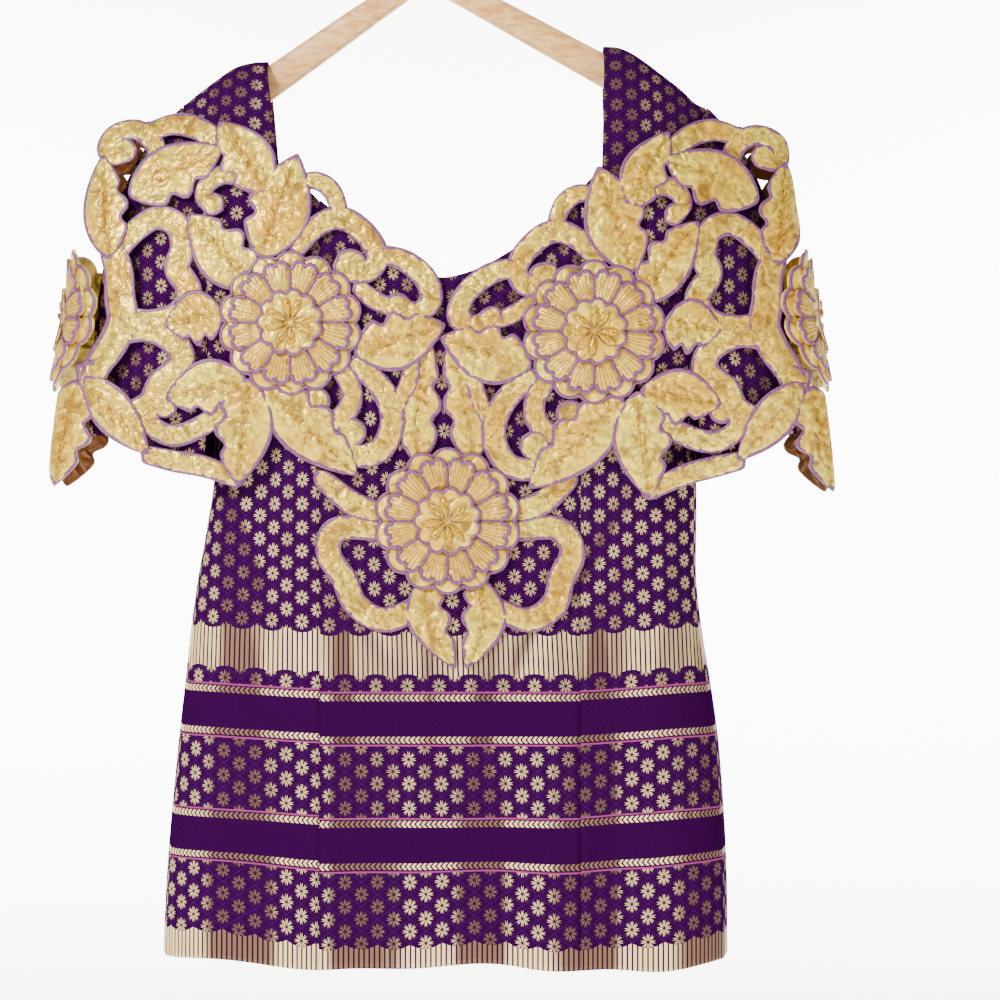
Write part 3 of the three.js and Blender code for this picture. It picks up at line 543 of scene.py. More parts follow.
def innerEdge(drop, side, hand, seam):
    top, low, dip, stretch = strapTop[handName[hand]], neck["halfWidth"] + neck["middle"] * hand, 0, 1
    if side > 0:
        dip, stretch = neck["backDip"], (low + neck["backInset"]) / low
    strapFoot = neck["point"] - neck["rise"] + dip
    onStrap = lerp(top, low * stretch, np.clip((drop - strapFrom) / (strapFoot - strapFrom), 0, 1))
    onNeck = neckReach(drop - dip, hand) * stretch
    below = np.where(drop < neck["point"] + dip, np.maximum(seam, onNeck), seam)
    return np.where(drop < strapFoot, onStrap, below)


def outerEdge(drop, hand):
    return np.where(drop < underarm, bySide(armhole, hand, drop), bodyWidth(drop, hand))


def hemWave(x, drop):
    rise = smooth(drop, 640, hemDrop)
    return rise * (body["hemWave"] * np.sin(x / 31 + 0.8) + 1.1 * np.sin(x / 13.7) - 2 * x / 190)


def panel(side, hand, node):
    kind = "side" if hand and side < 0 else "half" if hand else "centre"
    if kind == "centre":
        inner, outer = -(princess["left"] - body["sewn"]), princess["right"] - body["sewn"]
        u = np.linspace(inner, outer, int((outer - inner) / body["columnStep"]) + 1)[None, :]
        w = np.linspace(0, 1, int(body["centreLength"] / body["rowStep"]))[:, None]
        x = np.broadcast_to(u, (len(w), u.shape[1]))
        top = frontNeck(x)
        drop = top + w * (hemDrop - top)
    else:
        seam = (princess[handName[hand]] if kind == "side" else 0) + body["sewn"]
        wide = body["halfWidth"] - seam
        u = np.linspace(0, 1, int(wide / body["columnStep"]) + 1)[None, :]
        length = hemDrop - body["top"]
        below = np.array([*body["below"], *np.arange(36, length, body["rowStep"]), float(length)])
        v = (below / length)[:, None]
        drop = np.broadcast_to(body["top"] + v * length, (len(v), u.shape[1]))
        for _ in range(24):
            x = lerp(innerEdge(drop, side, hand, seam), outerEdge(drop, hand), u)
            top = shoulderDrop(hand * x / bodyWidth(drop, hand))
            drop = lerp(drop, top + v * (hemDrop - top), 0.7)
        x = lerp(innerEdge(drop, side, hand, seam), outerEdge(drop, hand), u) * hand
    share = np.clip(x / bodyWidth(drop, x), -1, 1)
    points = clothPoint(bodyWidth, side, share, drop, 0)
    points[..., 1] += side * creaseAt(x, drop, side) * planShare(np.abs(share)) * smooth(drop, 300, 420)
    weave = np.zeros_like(points)
    # Threads keep their length: across each row from the centre, and up each column over the shoulder.
    steps = np.linalg.norm(np.diff(points, axis=1), axis=2)
    start = np.abs(x[:, :1]) if kind != "centre" else np.zeros((len(x), 1))
    run = np.concatenate([np.zeros((len(x), 1)), np.cumsum(steps, axis=1)], axis=1)
    if kind == "centre":
        weave[..., 0] = run - princess["left"]
    else:
        weave[..., 0] = hand * (start + run + (body["patternShift"] if kind == "side" else 0))
    climbs = np.linalg.norm(np.diff(points, axis=0), axis=2)
    length = np.concatenate([np.zeros((1, x.shape[1])), np.cumsum(climbs, axis=0)], axis=0)
    base = np.argmin(np.abs(drop[:, :1] - body["patternFrom"]))
    weave[..., 1] = np.where(drop < drop[base : base + 1], drop[base] + (length - length[base]), drop)
    if kind != "centre":  # the cloth is drawn up a little towards the side seams
        low, high = body["sideLift"][hand]
        weave[..., 1] += lerp(low if side < 0 else 0, high, smooth(np.abs(x), seam, 170)) * smooth(drop, 430, 520)
    # The weave's third value is the fold's slope across the cloth, which paints the gold's highlight and shade.
    lift = side * (foldAt(x, drop, side) + creaseAt(x, drop, side)) * -1
    width, way = np.abs(np.gradient(x, axis=1)), np.sign(x[:, 1:2] - x[:, :1])
    weave[..., 2] = np.gradient(lift, axis=1) / np.maximum(width, 0.5) * way
    points[..., 2] += hemWave(x, drop)
    faces = quads(*x.shape)
    faces = facingSide(points, faces, 60, 5, side)
    piece = addMesh(f"brocade_{node}", points, faces, [brocadeCloth], weave=weave.reshape(-1, 3))
    return finishCloth(piece, node)


panelSides = {"front_centre": (-1, 0), "front_side_left": (-1, -1), "front_side_right": (-1, 1), "back_left": (1, -1),
              "back_right": (1, 1)}
panels = {node: panel(side, hand, node) for node, (side, hand) in panelSides.items()}
print("body panels made")


# Soft sleeves inside the satin shell, and the cloth that closes each beside the body.
sleeves = {"turns": 44, "rows": 62, "top": 161, "inner": 419, "outer": 389, "plainBand": 583}


def sleeve(hand, node):
    t = np.linspace(-1, 1, sleeves["turns"] + 1)
    share = 1 - np.abs(t) ** 1.6  # from the front armhole over the outer edge to the back one
    side = np.where(t < 0, -1, 1)
    v = np.linspace(0, 1, sleeves["rows"] + 1)[:, None]
    hem = lerp(sleeves["inner"], sleeves["outer"], smooth(share, 0, 0.8))
    drop = sleeves["top"] + v * (hem - sleeves["top"])
    inner = bySide(armhole, hand, drop) + seamGap
    x = lerp(inner, bySide(sleeveRings, hand, drop), share) * hand
    frontPoints = clothPointAt(shellWidth, -1, x, drop, 0)
    backPoints = clothPointAt(shellWidth, 1, x, drop, 0)
    points = np.where((side < 0)[None, :, None], frontPoints, backPoints)
    crease = 1.5 * np.sin(x / 7.5 + drop / 31) * np.sin(drop / 23 + 1) * smooth(drop, 200, 330)
    points[..., 1] += np.where(side < 0, -1, 1) * crease * smooth(share, 0, 0.3) * (1 - smooth(share, 0.8, 1))
    points[..., 1] *= planShare(share)
    steps = np.linalg.norm(np.diff(points, axis=1), axis=2)
    run = np.concatenate([np.zeros((len(v), 1)), np.cumsum(steps, axis=1)], axis=1)
    weave = np.stack([run, drop, 0 * drop], -1)
    faces = quads(*x.shape)
    faces = facingSide(points, faces, 30, 8, -1)
    piece = addMesh(f"brocade_{node}", points, faces, [brocadeCloth], weave=weave.reshape(-1, 3))
    return finishCloth(piece, node)


def underSleeve(hand, node):
    across = np.linspace(-1, 1, 25)[None, :]
    v = np.linspace(0, 1, 14)[:, None]
    top = underarm + 4 - (underarm - 330) * np.abs(across) ** 1.6
    drop = lerp(top, sleeves["inner"], v)
    x = bySide(armhole, hand, drop) + 1.6
    sides = np.where(across < 0, -1, 1)
    frontY = clothPointAt(shellWidth, -1, x * hand, drop, -clothThickness)[..., 1]
    backY = clothPointAt(shellWidth, 1, x * hand, drop, -clothThickness)[..., 1]
    y = np.where(sides < 0, frontY + 1.5, backY - 1.5) * np.abs(across)
    points = np.stack([x * hand, y, -drop], -1)
    # The gusset is cut from the brocade's plain purple band.
    weave = np.stack([y, np.full(y.shape, sleeves["plainBand"]), 0 * y], -1)
    faces = quads(*x.shape)
    if hand > 0:
        faces = [face[::-1] for face in faces]
    piece = addMesh(f"brocade_{node}", points, faces, [brocadeCloth], weave=weave.reshape(-1, 3))
    return finishCloth(piece, node, 0)


for hand, word in handName.items():
    panels[f"sleeve_{word}"] = sleeve(hand, f"sleeve_{word}")
    panels[f"under_sleeve_{word}"] = underSleeve(hand, f"under_sleeve_{word}")
print("sleeves made")


# The satin cutwork, one side only: half-widths out from the centre and drops.
# The yoke stands "from" off the cloth, and its tops, puffs and edges are heights over that. A motif that
# "wraps" goes on round the sleeve, and one with a "curl" ends in a round of that radius. "lobed" gives the
# side of a leaf that is notched, and "bow" bends its midrib.
cutwork = {
    "from": 2.4, "fullness": 1.07, "bandTop": 1.0, "leafTop": 2.0, "step": 0.18, "puff": 1.9, "grid": 1.62,
    "bandStep": 1.7, "leafStep": 1.5, "edgeWidth": 3.3, "edgeHeight": 1.5, "edgeStep": 1.65,
}
leaves = (
    {"base": (123, 272), "tip": (99, 199), "width": 42, "lobed": 1},
    {"base": (118, 226), "tip": (154, 175), "width": 36, "lobed": 1},
    {"base": (216, 226), "tip": (150, 194), "width": 40, "lobed": -1, "wraps": True},
    {"base": (229, 270), "tip": (236, 196), "width": 32, "lobed": -1, "wraps": True},
    {"base": (126, 292), "tip": (174, 240), "width": 38, "lobed": -1},
    {"base": (148, 308), "tip": (189, 316), "width": 36, "lobed": 1},
    {"base": (133, 352), "tip": (189, 366), "width": 36, "lobed": 1},
    {"base": (131, 352), "tip": (140, 425), "width": 38, "lobed": -1},
    {"base": (122, 356), "tip": (58, 418), "width": 38, "lobed": 1},
    {"base": (60, 336), "tip": (-2, 316), "width": 38, "lobed": 1},
    {"base": (252, 352), "tip": (269, 425), "width": 38, "lobed": 1, "wraps": True},
    {"base": (246, 350), "tip": (200, 404), "width": 28, "lobed": 0, "wraps": True},
)
scrolls = (
    {"width": 15, "curl": 9, "wraps": True,
     "points": ((194, 206), (201, 187), (214, 178), (228, 181), (234, 191), (228, 198), (221, 194))},
    {"width": 17, "curl": 8, "wraps": True, "points": ((152, 192), (168, 180), (186, 175), (204, 180))},
    {"width": 14, "curl": 8, "points": ((120, 232), (132, 218), (148, 213), (160, 219), (163, 229), (156, 234))},
    {"width": 13, "curl": 6, "points": ((101, 220), (86, 218), (75, 226), (68, 245))},
    {"width": 16, "curl": 12,
     "points": ((102, 268), (85, 249), (68, 244), (52, 255), (44, 270), (51, 281), (62, 277))},
    {"width": 16, "curl": 9, "points": ((44, 268), (26, 273), (12, 285), (8, 299), (17, 308), (30, 304))},
    {"width": 13, "curl": 6, "points": ((60, 288), (47, 299), (30, 307))},
    {"width": 12, "curl": 6, "points": ((19, 334), (24, 357), (34, 376))},
    {"width": 17, "curl": 10,
     "points": ((62, 338), (41, 360), (34, 380), (41, 399), (56, 405), (67, 398), (62, 389))},
    {"width": 15, "curl": 10, "points": ((76, 338), (63, 356), (63, 371), (73, 381), (85, 377), (86, 368))},
    {"width": 15, "curl": 9, "points": ((144, 366), (160, 382), (182, 391), (198, 384), (199, 373), (190, 370))},
    {"width": 15, "curl": 6, "points": ((206, 403), (184, 408), (162, 412), (140, 420))},
)
loops = (
    {"width": 18, "wraps": True, "points": ((228, 272), (213, 253), (196, 242), (181, 248), (177, 264), (181, 277),
                                            (172, 293), (180, 308), (200, 313), (222, 308))},
    {"width": 19, "wraps": True, "points": ((224, 322), (200, 319), (181, 329), (178, 343), (192, 356), (200, 370),
                                            (220, 377), (238, 367), (246, 340))},
    {"width": 23, "wraps": True, "points": ((228, 260), (222, 278), (221, 296), (219, 312), (226, 328), (236, 342),
                                            (241, 356))},
)
centreLeaves = (
    {"base": (18, 412), "tip": (6, 326), "width": 30, "lobed": -1, "bow": 4},
    {"base": (17, 484), "tip": (3.6, 549), "width": 29, "lobed": 1, "bow": 8},
)
centreBands = (
    {"width": 18, "points": ((38, 456), (74, 454), (83, 470), (74, 488), (67, 506), (47, 516), (16, 502))},
    {"width": 17, "curl": 6, "points": ((34, 446), (62, 438), (84, 420))},
)
flowers = {
    "bust_left": {"on": "yoke", "x": -103, "drop": 315, "radius": 49, "lift": 0},
    "bust_right": {"on": "yoke", "x": 102, "drop": 321, "radius": 49, "lift": 0},
    "centre": {"on": "body", "x": 3, "drop": 449, "radius": 50, "lift": 0.6},
    "sleeve_left": {"on": "edge", "hand": -1, "x": -272, "drop": 309, "radius": 50, "lift": 0.8},
    "sleeve_right": {"on": "edge", "hand": 1, "x": 272, "drop": 309, "radius": 50, "lift": -0.6},
}


# The right half hangs a little lower and opens outward by the strap.
def settleYoke(flat, hand):
    x, drop = flat[..., 0], flat[..., 1]
    if hand < 0:
        return np.stack([-x, drop], -1)
    byStrap = (1 - smooth(drop, 270, 320)) * (1 - smooth(x, 120, 160))
    return np.stack([x + 6 * byStrap, drop + lerp(9, 4, smooth(x, 130, 190))], -1)


# The centre piece leans: its foot hangs to the right.
def settleCentre(flat, hand):
    below = flat[..., 1] - 449
    return np.stack([flat[..., 0] * hand + 3 + below * np.where(below > 0, 0.088, 0.045), flat[..., 1]], -1)


def leafEdges(row, t):
    base, tip = np.array(row["base"], float), np.array(row["tip"], float)
    axis = tip - base
    normal = np.array([-axis[1], axis[0]]) / np.linalg.norm(axis)
    plain = cutwork["fullness"] * row["width"] / 2 * np.sin(np.pi * t**0.85) ** 0.85
    notch = np.exp(-(((t - 0.38) / 0.06) ** 2)) + np.exp(-(((t - 0.64) / 0.06) ** 2))
    reach = [plain * (1 - 0.34 * notch * (side == row["lobed"])) for side in (-1, 1)]
    middle = base + axis * t[:, None] + np.array([row.get("bow", 0), 0]) * np.sin(np.pi * t)[:, None]
    return middle - normal * reach[0][:, None], middle, middle + normal * reach[1][:, None]


def leafSteps(row):
    length = math.hypot(row["tip"][0] - row["base"][0], row["tip"][1] - row["base"][1])
    return np.linspace(0.004, 0.996, int(length / cutwork["leafStep"]))


# A smooth line through flat points, cut into equal lengths.
def smoothLine(points, step):
    p = np.array(points, float)
    p = np.concatenate([[2 * p[0] - p[1]], p, [2 * p[-1] - p[-2]]])
    found = []
    for i in range(1, len(p) - 2):
        t = np.linspace(0, 1, 24, endpoint=False)[:, None]
        a, b, c, d = p[i - 1], p[i], p[i + 1], p[i + 2]
        square, cube = 2 * a - 5 * b + 4 * c - d, 3 * b - a - 3 * c + d
        found.append(0.5 * (2 * b + (c - a) * t + square * t**2 + cube * t**3))
    line = np.concatenate([*found, p[-2:-1]])
    return resampled(line, step)


def resampled(line, step, closed=False):
    if closed:
        line = np.concatenate([line, line[:1]])
    run = np.concatenate([[0], np.cumsum(np.linalg.norm(np.diff(line, axis=0), axis=1))])
    count = max(4, int(round(run[-1] / step)))
    at = np.linspace(0, run[-1], count + 1)[: -1 if closed else None]
    return np.stack([np.interp(at, run, line[:, k]) for k in range(line.shape[1])], -1)


def crosswise(line, closed=False):
    if closed:
        ahead = np.roll(line, -1, 0) - np.roll(line, 1, 0)
    else:
        ahead = np.gradient(line, axis=0)
    ahead = ahead / np.maximum(np.linalg.norm(ahead, axis=1, keepdims=True), 1e-9)
    return np.stack([-ahead[:, 1], ahead[:, 0]], -1)


def bandEdges(row, step):
    line = smoothLine(row["points"], step)
    curl = row.get("curl", 0)
    length = step * (len(line) - 1)
    if curl:  # the round end reaches past the line's last point
        ahead = line[-1] - line[-2]
        extra = np.arange(1, int(curl / step) + 1)[:, None] * ahead / np.linalg.norm(ahead) * step
        line = np.concatenate([line, line[-1] + extra, [line[-1] + ahead / np.linalg.norm(ahead) * (curl - 0.02)]])
    across = crosswise(line)
    run = np.concatenate([[0], np.cumsum(np.linalg.norm(np.diff(line, axis=0), axis=1))])
    t = np.clip(run / length, 0, 1)
    half = row["width"] / 2 * (0.8 + 0.2 * np.sin(np.pi * t))
    half = half * np.sqrt(np.clip(run / 4, 0, 1) * (2 - np.clip(run / 4, 0, 1)))
    if curl:
        knob = np.sqrt(np.maximum(curl**2 - (run - length) ** 2, 0))
        half = np.where(run > length, knob, np.maximum(half, knob))
    turn = np.unwrap(np.arctan2(across[:, 1], across[:, 0]))
    bend = np.gradient(turn, np.maximum(run, 1e-6))
    limit = 0.92 / np.maximum(np.abs(bend), 1e-4)
    left, right = (np.where(bend * side > 0, np.minimum(half, limit), half) for side in (-1, 1))
    return line - across * left[:, None], line, line + across * right[:, None]


# Puckers between the small stitches of the satin: little cushions with creases between them.
def puckers(flat, seed):
    found = np.empty(len(flat))
    for i, (x, y) in enumerate(flat.tolist()):
        near = noise.voronoi(Vector((x / 6.2, y / 6.2, seed)))[0]
        fine = noise.noise(Vector((x / 2.4, y / 3.8, seed + 9.5)))
        found[i] = min(1.0, (near[1] - near[0]) * 2.1) * 0.75 + 0.45 * fine
    return found


def edgeRoom(flat, widthAt):  # how far inside the shell's side edge a flat point is
    return widthAt(flat[..., 1], flat[..., 0]) - np.abs(flat[..., 0])


# Flat points near the side edge are drawn onto it, so the front and back pieces meet there.
def ontoEdge(flat, widthAt):
    room = edgeRoom(flat, widthAt)
    soft = 3.0
    drawn = np.where(room > soft, room, np.where(room < -soft, 0, (room + soft) ** 2 / (4 * soft)))
    x = np.sign(flat[..., 0]) * (widthAt(flat[..., 1], flat[..., 0]) - drawn)
    return np.stack([x, flat[..., 1]], -1)


def nearFlower(flat, names):
    rows = [flowers[name] for name in names]
    gaps = [np.hypot(flat[..., 0] - row["x"], flat[..., 1] - row["drop"]) - row["radius"] for row in rows]
    return 1 - smooth(np.minimum.reduce(gaps), -6, 2)


class Applique:
    def __init__(self, widthAt, side, names, settle, level):
        self.widthAt, self.side, self.names, self.settle, self.level = widthAt, side, names, settle, level
        self.satin, self.edging, self.flatArea = Parts(), Parts(), 0

    def place(self, flat, out):
        drawn = ontoEdge(flat, self.widthAt)
        return clothPointAt(self.widthAt, self.side, drawn[..., 0], drawn[..., 1], out)

    # One motif from its two edges: a puffed satin top, a flat back, and a stitched edge all round.
    def motif(self, left, middle, right, top, seed, hand, rib):
        rows = len(middle)
        across = max(6, int(np.max(np.linalg.norm(left - right, axis=1)) / cutwork["grid"]))
        across += across % 2
        s = np.linspace(-1, 1, across + 1)
        near, far = np.clip(-s, 0, 1)[None, :, None], np.clip(s, 0, 1)[None, :, None]
        flat = middle[:, None] + near * (left - middle)[:, None] + far * (right - middle)[:, None]
        flat = self.settle(flat, hand)
        clear = 1 - nearFlower(flat, self.names)
        relief = puckers(flat.reshape(-1, 2), seed).reshape(rows, across + 1)
        crown = (1 - np.abs(s) ** 3)[None, :] * np.minimum(1, np.arange(rows) / 4)[:, None]
        crown = crown * np.minimum(1, np.arange(rows)[::-1] / 4)[:, None]
        half = np.linalg.norm(right - left, axis=1)[:, None] / 2
        groove = rib * np.exp(-((s[None, :] * half / 1.4) ** 2))
        puff = cutwork["puff"] * (0.45 + 0.75 * relief) * crown - groove * crown
        base = self.level + 0.2
        out = base + lerp(1.0, top, clear) + puff * clear
        upper = self.place(flat, out)
        skipped = edgeRoom(flat, self.widthAt) < -3
        pick = np.unique(np.linspace(0, across, 7).round().astype(int))
        lower = self.place(flat[:, pick], np.full((rows, len(pick)), float(self.level)))
        shown = np.ones((rows - 1, across), bool)
        shown &= ~(skipped[:-1, :-1] & skipped[1:, :-1] & skipped[:-1, 1:] & skipped[1:, 1:])
        faces = [f for f, keep in zip(quads(rows, across + 1), shown.ravel()) if keep]
        start = rows * (across + 1)
        k = len(pick)
        under = []
        for r in range(rows - 1):
            for c in range(k - 1):
                if shown[r, pick[c] : pick[c + 1]].any():
                    a = start + r * k + c
                    under.append([a, a + k, a + k + 1, a + 1])
        rim = []
        for r in range(rows - 1):
            for c, e, flip in ((0, 0, 1), (across, k - 1, -1)):
                if shown[r, min(c, across - 1)]:
                    a, b = r * (across + 1) + c, start + r * k + e
                    rim.append([a, a + across + 1, b + k, b][::flip])
        # Painted shade: darker in the puckers' valleys and along the midrib's groove; the flat back is painted fully
        # dark.
        tint = np.zeros((rows, across + 1, 3))
        tint[..., 0] = np.clip(0.62 - 1.25 * relief, 0, 1) * crown * 0.75 + 0.25 * (groove > 0.3 * rib) * (rib > 0)
        points = np.concatenate([upper.reshape(-1, 3), lower.reshape(-1, 3)])
        tints = np.concatenate([tint.reshape(-1, 3), np.tile([1.0, 1, 0], (len(lower.reshape(-1, 3)), 1))])
        topEnd, lowEnd = (rows - 1) * (across + 1), start + (rows - 1) * k
        ends = [list(range(across, -1, -1)) + list(range(start, start + k)),
                list(range(topEnd, topEnd + across + 1)) + list(range(lowEnd + k - 1, lowEnd - 1, -1))]
        every = faces + under + rim + [end for end, r in zip(ends, (0, rows - 2)) if shown[r].any()]
        self.satin.add(points, facingSide(upper, every, rows // 2, across // 2, self.side), tints)
        down, up = flat[1:, 1:] - flat[:-1, :-1], flat[1:, :-1] - flat[:-1, 1:]
        self.flatArea += float((np.abs(down[..., 0] * up[..., 1] - down[..., 1] * up[..., 0]) / 2)[shown].sum())
        outline = np.concatenate([left, right[::-1]])
        self.edge(outline, hand, top + base)

    # A raised satin-stitch edge just inside an outline.
    def edge(self, outline, hand, top):
        line = resampled(outline, cutwork["edgeStep"], closed=True)
        across = crosswise(line, closed=True)
        area = float((line[:, 0] * np.roll(line[:, 1], -1) - line[:, 1] * np.roll(line[:, 0], -1)).sum())
        across = across if area > 0 else -across
        line = line + across * cutwork["edgeWidth"] * 0.42
        width, height = cutwork["edgeWidth"] / 2, cutwork["edgeHeight"]
        angles = np.linspace(0, 2 * np.pi, cord["sides"], endpoint=False)
        ridge = 1 - cord["sink"] * (np.arange(len(line)) % 2)[:, None]
        flat = line[:, None] + across[:, None] * (np.cos(angles) * width)[None, :, None]
        flat = self.settle(flat, hand)
        middle = self.settle(line, hand)
        clear = 1 - nearFlower(middle, self.names)
        level = self.level + 0.2 + lerp(1.0, top - self.level - 0.2, clear)
        out = level[:, None] + np.sin(angles)[None, :] * height * cord["roundness"] * ridge
        sewnCord(self.edging, self.place(flat, out), edgeRoom(middle, self.widthAt) > -3, True)


def yokeHalf(hand, side):
    names = (f"bust_{handName[hand]}",) if side < 0 else ()
    work = Applique(shellWidth, side, names + (f"sleeve_{handName[hand]}",), settleYoke, cutwork["from"])
    for i, row in enumerate((*loops, *scrolls)):
        if side < 0 or row.get("wraps"):
            top = cutwork["bandTop"] + cutwork["step"] * (i % 3)
            work.motif(*bandEdges(row, cutwork["bandStep"]), top, i, hand, 0)
    for i, row in enumerate(leaves):
        if side < 0 or row.get("wraps"):
            top = cutwork["leafTop"] + cutwork["step"] * (i % 4)
            work.motif(*leafEdges(row, leafSteps(row)), top, 30 + i, hand, 0.7)
    return work


def centrePiece():
    work = Applique(bodyWidth, -1, ("centre",), settleCentre, 0.8)
    for hand in (-1, 1):
        for i, row in enumerate(centreBands):
            work.motif(*bandEdges(row, cutwork["bandStep"]), 1.0 + cutwork["step"] * i, 50 + i + hand, hand, 0)
        for i, row in enumerate(centreLeaves):
            work.motif(*leafEdges(row, leafSteps(row)), 1.7 + 0.2 * (hand > 0), 60 + i + hand, hand, 0.7)
    return work


cutworks = {
    "yoke_left": yokeHalf(-1, -1), "yoke_right": yokeHalf(1, -1), "yoke_centre": centrePiece(),
    "sleeve_cutwork_back_left": yokeHalf(-1, 1), "sleeve_cutwork_back_right": yokeHalf(1, 1),
}
satinPieces = {}
for node, work in cutworks.items():
    piece = work.satin.build(f"satin_{node}", satinCloth)
    edging = work.edging.build(f"edging_{node}", lilacThread)
    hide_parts(node)
    satinPieces[node] = (piece, edging, work.flatArea)
print("cutwork made")


# The five flowers, each of a scalloped base, a ring of notched petals and a scalloped heart with gold drops.
flowerLook = {
    "baseLobes": 14, "petals": 12, "heartLobes": 11, "drops": 8, "petalSize": 0.87, "heartSize": 0.47,
    "base": (4.3, 5.6), "ring": (6.4, 7.9), "heart": (9.3, 10.9), "edgeWidth": 2.7, "ribs": 7,
    "dropLength": 14.5, "dropWidth": 5.2, "dropHeight": 2.9, "dropFrom": 2.0,
}


def flowerSeat(row):
    if row["on"] != "edge":
        widthAt = bodyWidth if row["on"] == "body" else shellWidth
        return lambda across, down, out: clothPointAt(widthAt, -1, row["x"] + across, row["drop"] + down,
                                                      out + row["lift"])

    def seat(across, down, out):
        across, down, out = (a.ravel() for a in np.broadcast_arrays(across, down, out))
        found = np.zeros((len(across), 3))
        depths = np.linspace(0.025, 1, 40)
        shares = np.concatenate([[1.0], planShare(depths)])
        for side in (-1, 1):
            pick = (across < 0) == (side < 0)
            if not pick.any():
                continue
            drop = row["drop"] + down[pick]
            path = clothPoint(shellWidth, side, shares[None, :] * row["hand"], drop[:, None],
                              1.15 * out[pick][:, None] + row["lift"])
            steps = np.linalg.norm(np.diff(path, axis=1), axis=2)
            walked = np.concatenate([np.zeros((len(path), 1)), np.cumsum(steps, axis=1)], axis=1)
            want = np.abs(across[pick])
            k = np.clip((walked < want[:, None]).sum(axis=1) - 1, 0, len(shares) - 2)
            i = np.arange(len(path))
            t = np.clip((want - walked[i, k]) / np.maximum(steps[i, k], 1e-9), 0, 1)[:, None]
            found[pick] = path[i, k] * (1 - t) + path[i, k + 1] * t
        return found

    def shaped(across, down, out):
        shape = np.broadcast_arrays(across, down, out)[0].shape
        return seat(across, down, out).reshape(*shape, 3)

    return shaped


# One layer: rings of points from the middle to its rim, and a plain underside.
def flowerDisc(seat, rim, angles, shares, low, heightAt, paintedShadeAt):
    m = len(angles)
    c, s = np.cos(angles), np.sin(angles)
    reach = rim[None, :] * shares[:, None]
    top = seat(reach * c, reach * s, heightAt(shares[:, None], angles[None, :]))
    under = np.array([1.0, 0.55])[:, None]
    bottom = seat(rim * under * c, rim * under * s, np.full((2, m), float(low)))
    n = len(shares)
    points = np.concatenate([top.reshape(-1, 3), bottom.reshape(-1, 3)])
    points = np.concatenate([points, seat(np.zeros(1), np.zeros(1), heightAt(np.zeros((1, 1)), np.zeros((1, 1)))[0]),
                             seat(np.zeros(1), np.zeros(1), np.full(1, float(low)))])
    faces = quads(n, m, closed=True)
    foot = n * m
    for k in range(m):
        j = (k + 1) % m
        faces.append([(n - 1) * m + k, (n - 1) * m + j, foot + j, foot + k])
        faces.append([foot + k, foot + j, foot + m + j, foot + m + k])
        faces.append([k, j, foot + 2 * m])
        faces.append([foot + m + j, foot + m + k, foot + 2 * m + 1])
    # Painted shade on the top rings, from the layer's shade function; none on the underside.
    tints = np.zeros((len(points), 3))
    tints[: n * m, 0] = paintedShadeAt(shares[:, None], angles[None, :]).ravel()
    outward = seat(reach[n // 2] * c, reach[n // 2] * s, np.full(m, low + 30.0)) - top[n // 2]
    a, b, d = top[n // 2, 0], top[n // 2, 1], top[n // 2 + 1, 0]
    rings = faces[: (n - 1) * m]
    flip = np.dot(np.cross(b - a, d - a), outward[0]) < 0
    rest = faces[(n - 1) * m :]
    rings = [face[::-1] for face in rings] if flip else rings
    # The rim, the underside and the two fans turn with the rings.
    turned = []
    for i, face in enumerate(rest):
        forward = i % 4 in (0, 1)
        turned.append(face[::-1] if (flip == forward) else face)
    return points, rings + turned, tints


def petalRim(angles, radius):
    phase = (angles / (2 * np.pi) * flowerLook["petals"]) % 1 * 2 - 1
    notch = 0.055 * np.exp(-((phase / 0.13) ** 2))
    return radius * (1 - 0.15 * np.abs(phase) ** 5 - notch), phase


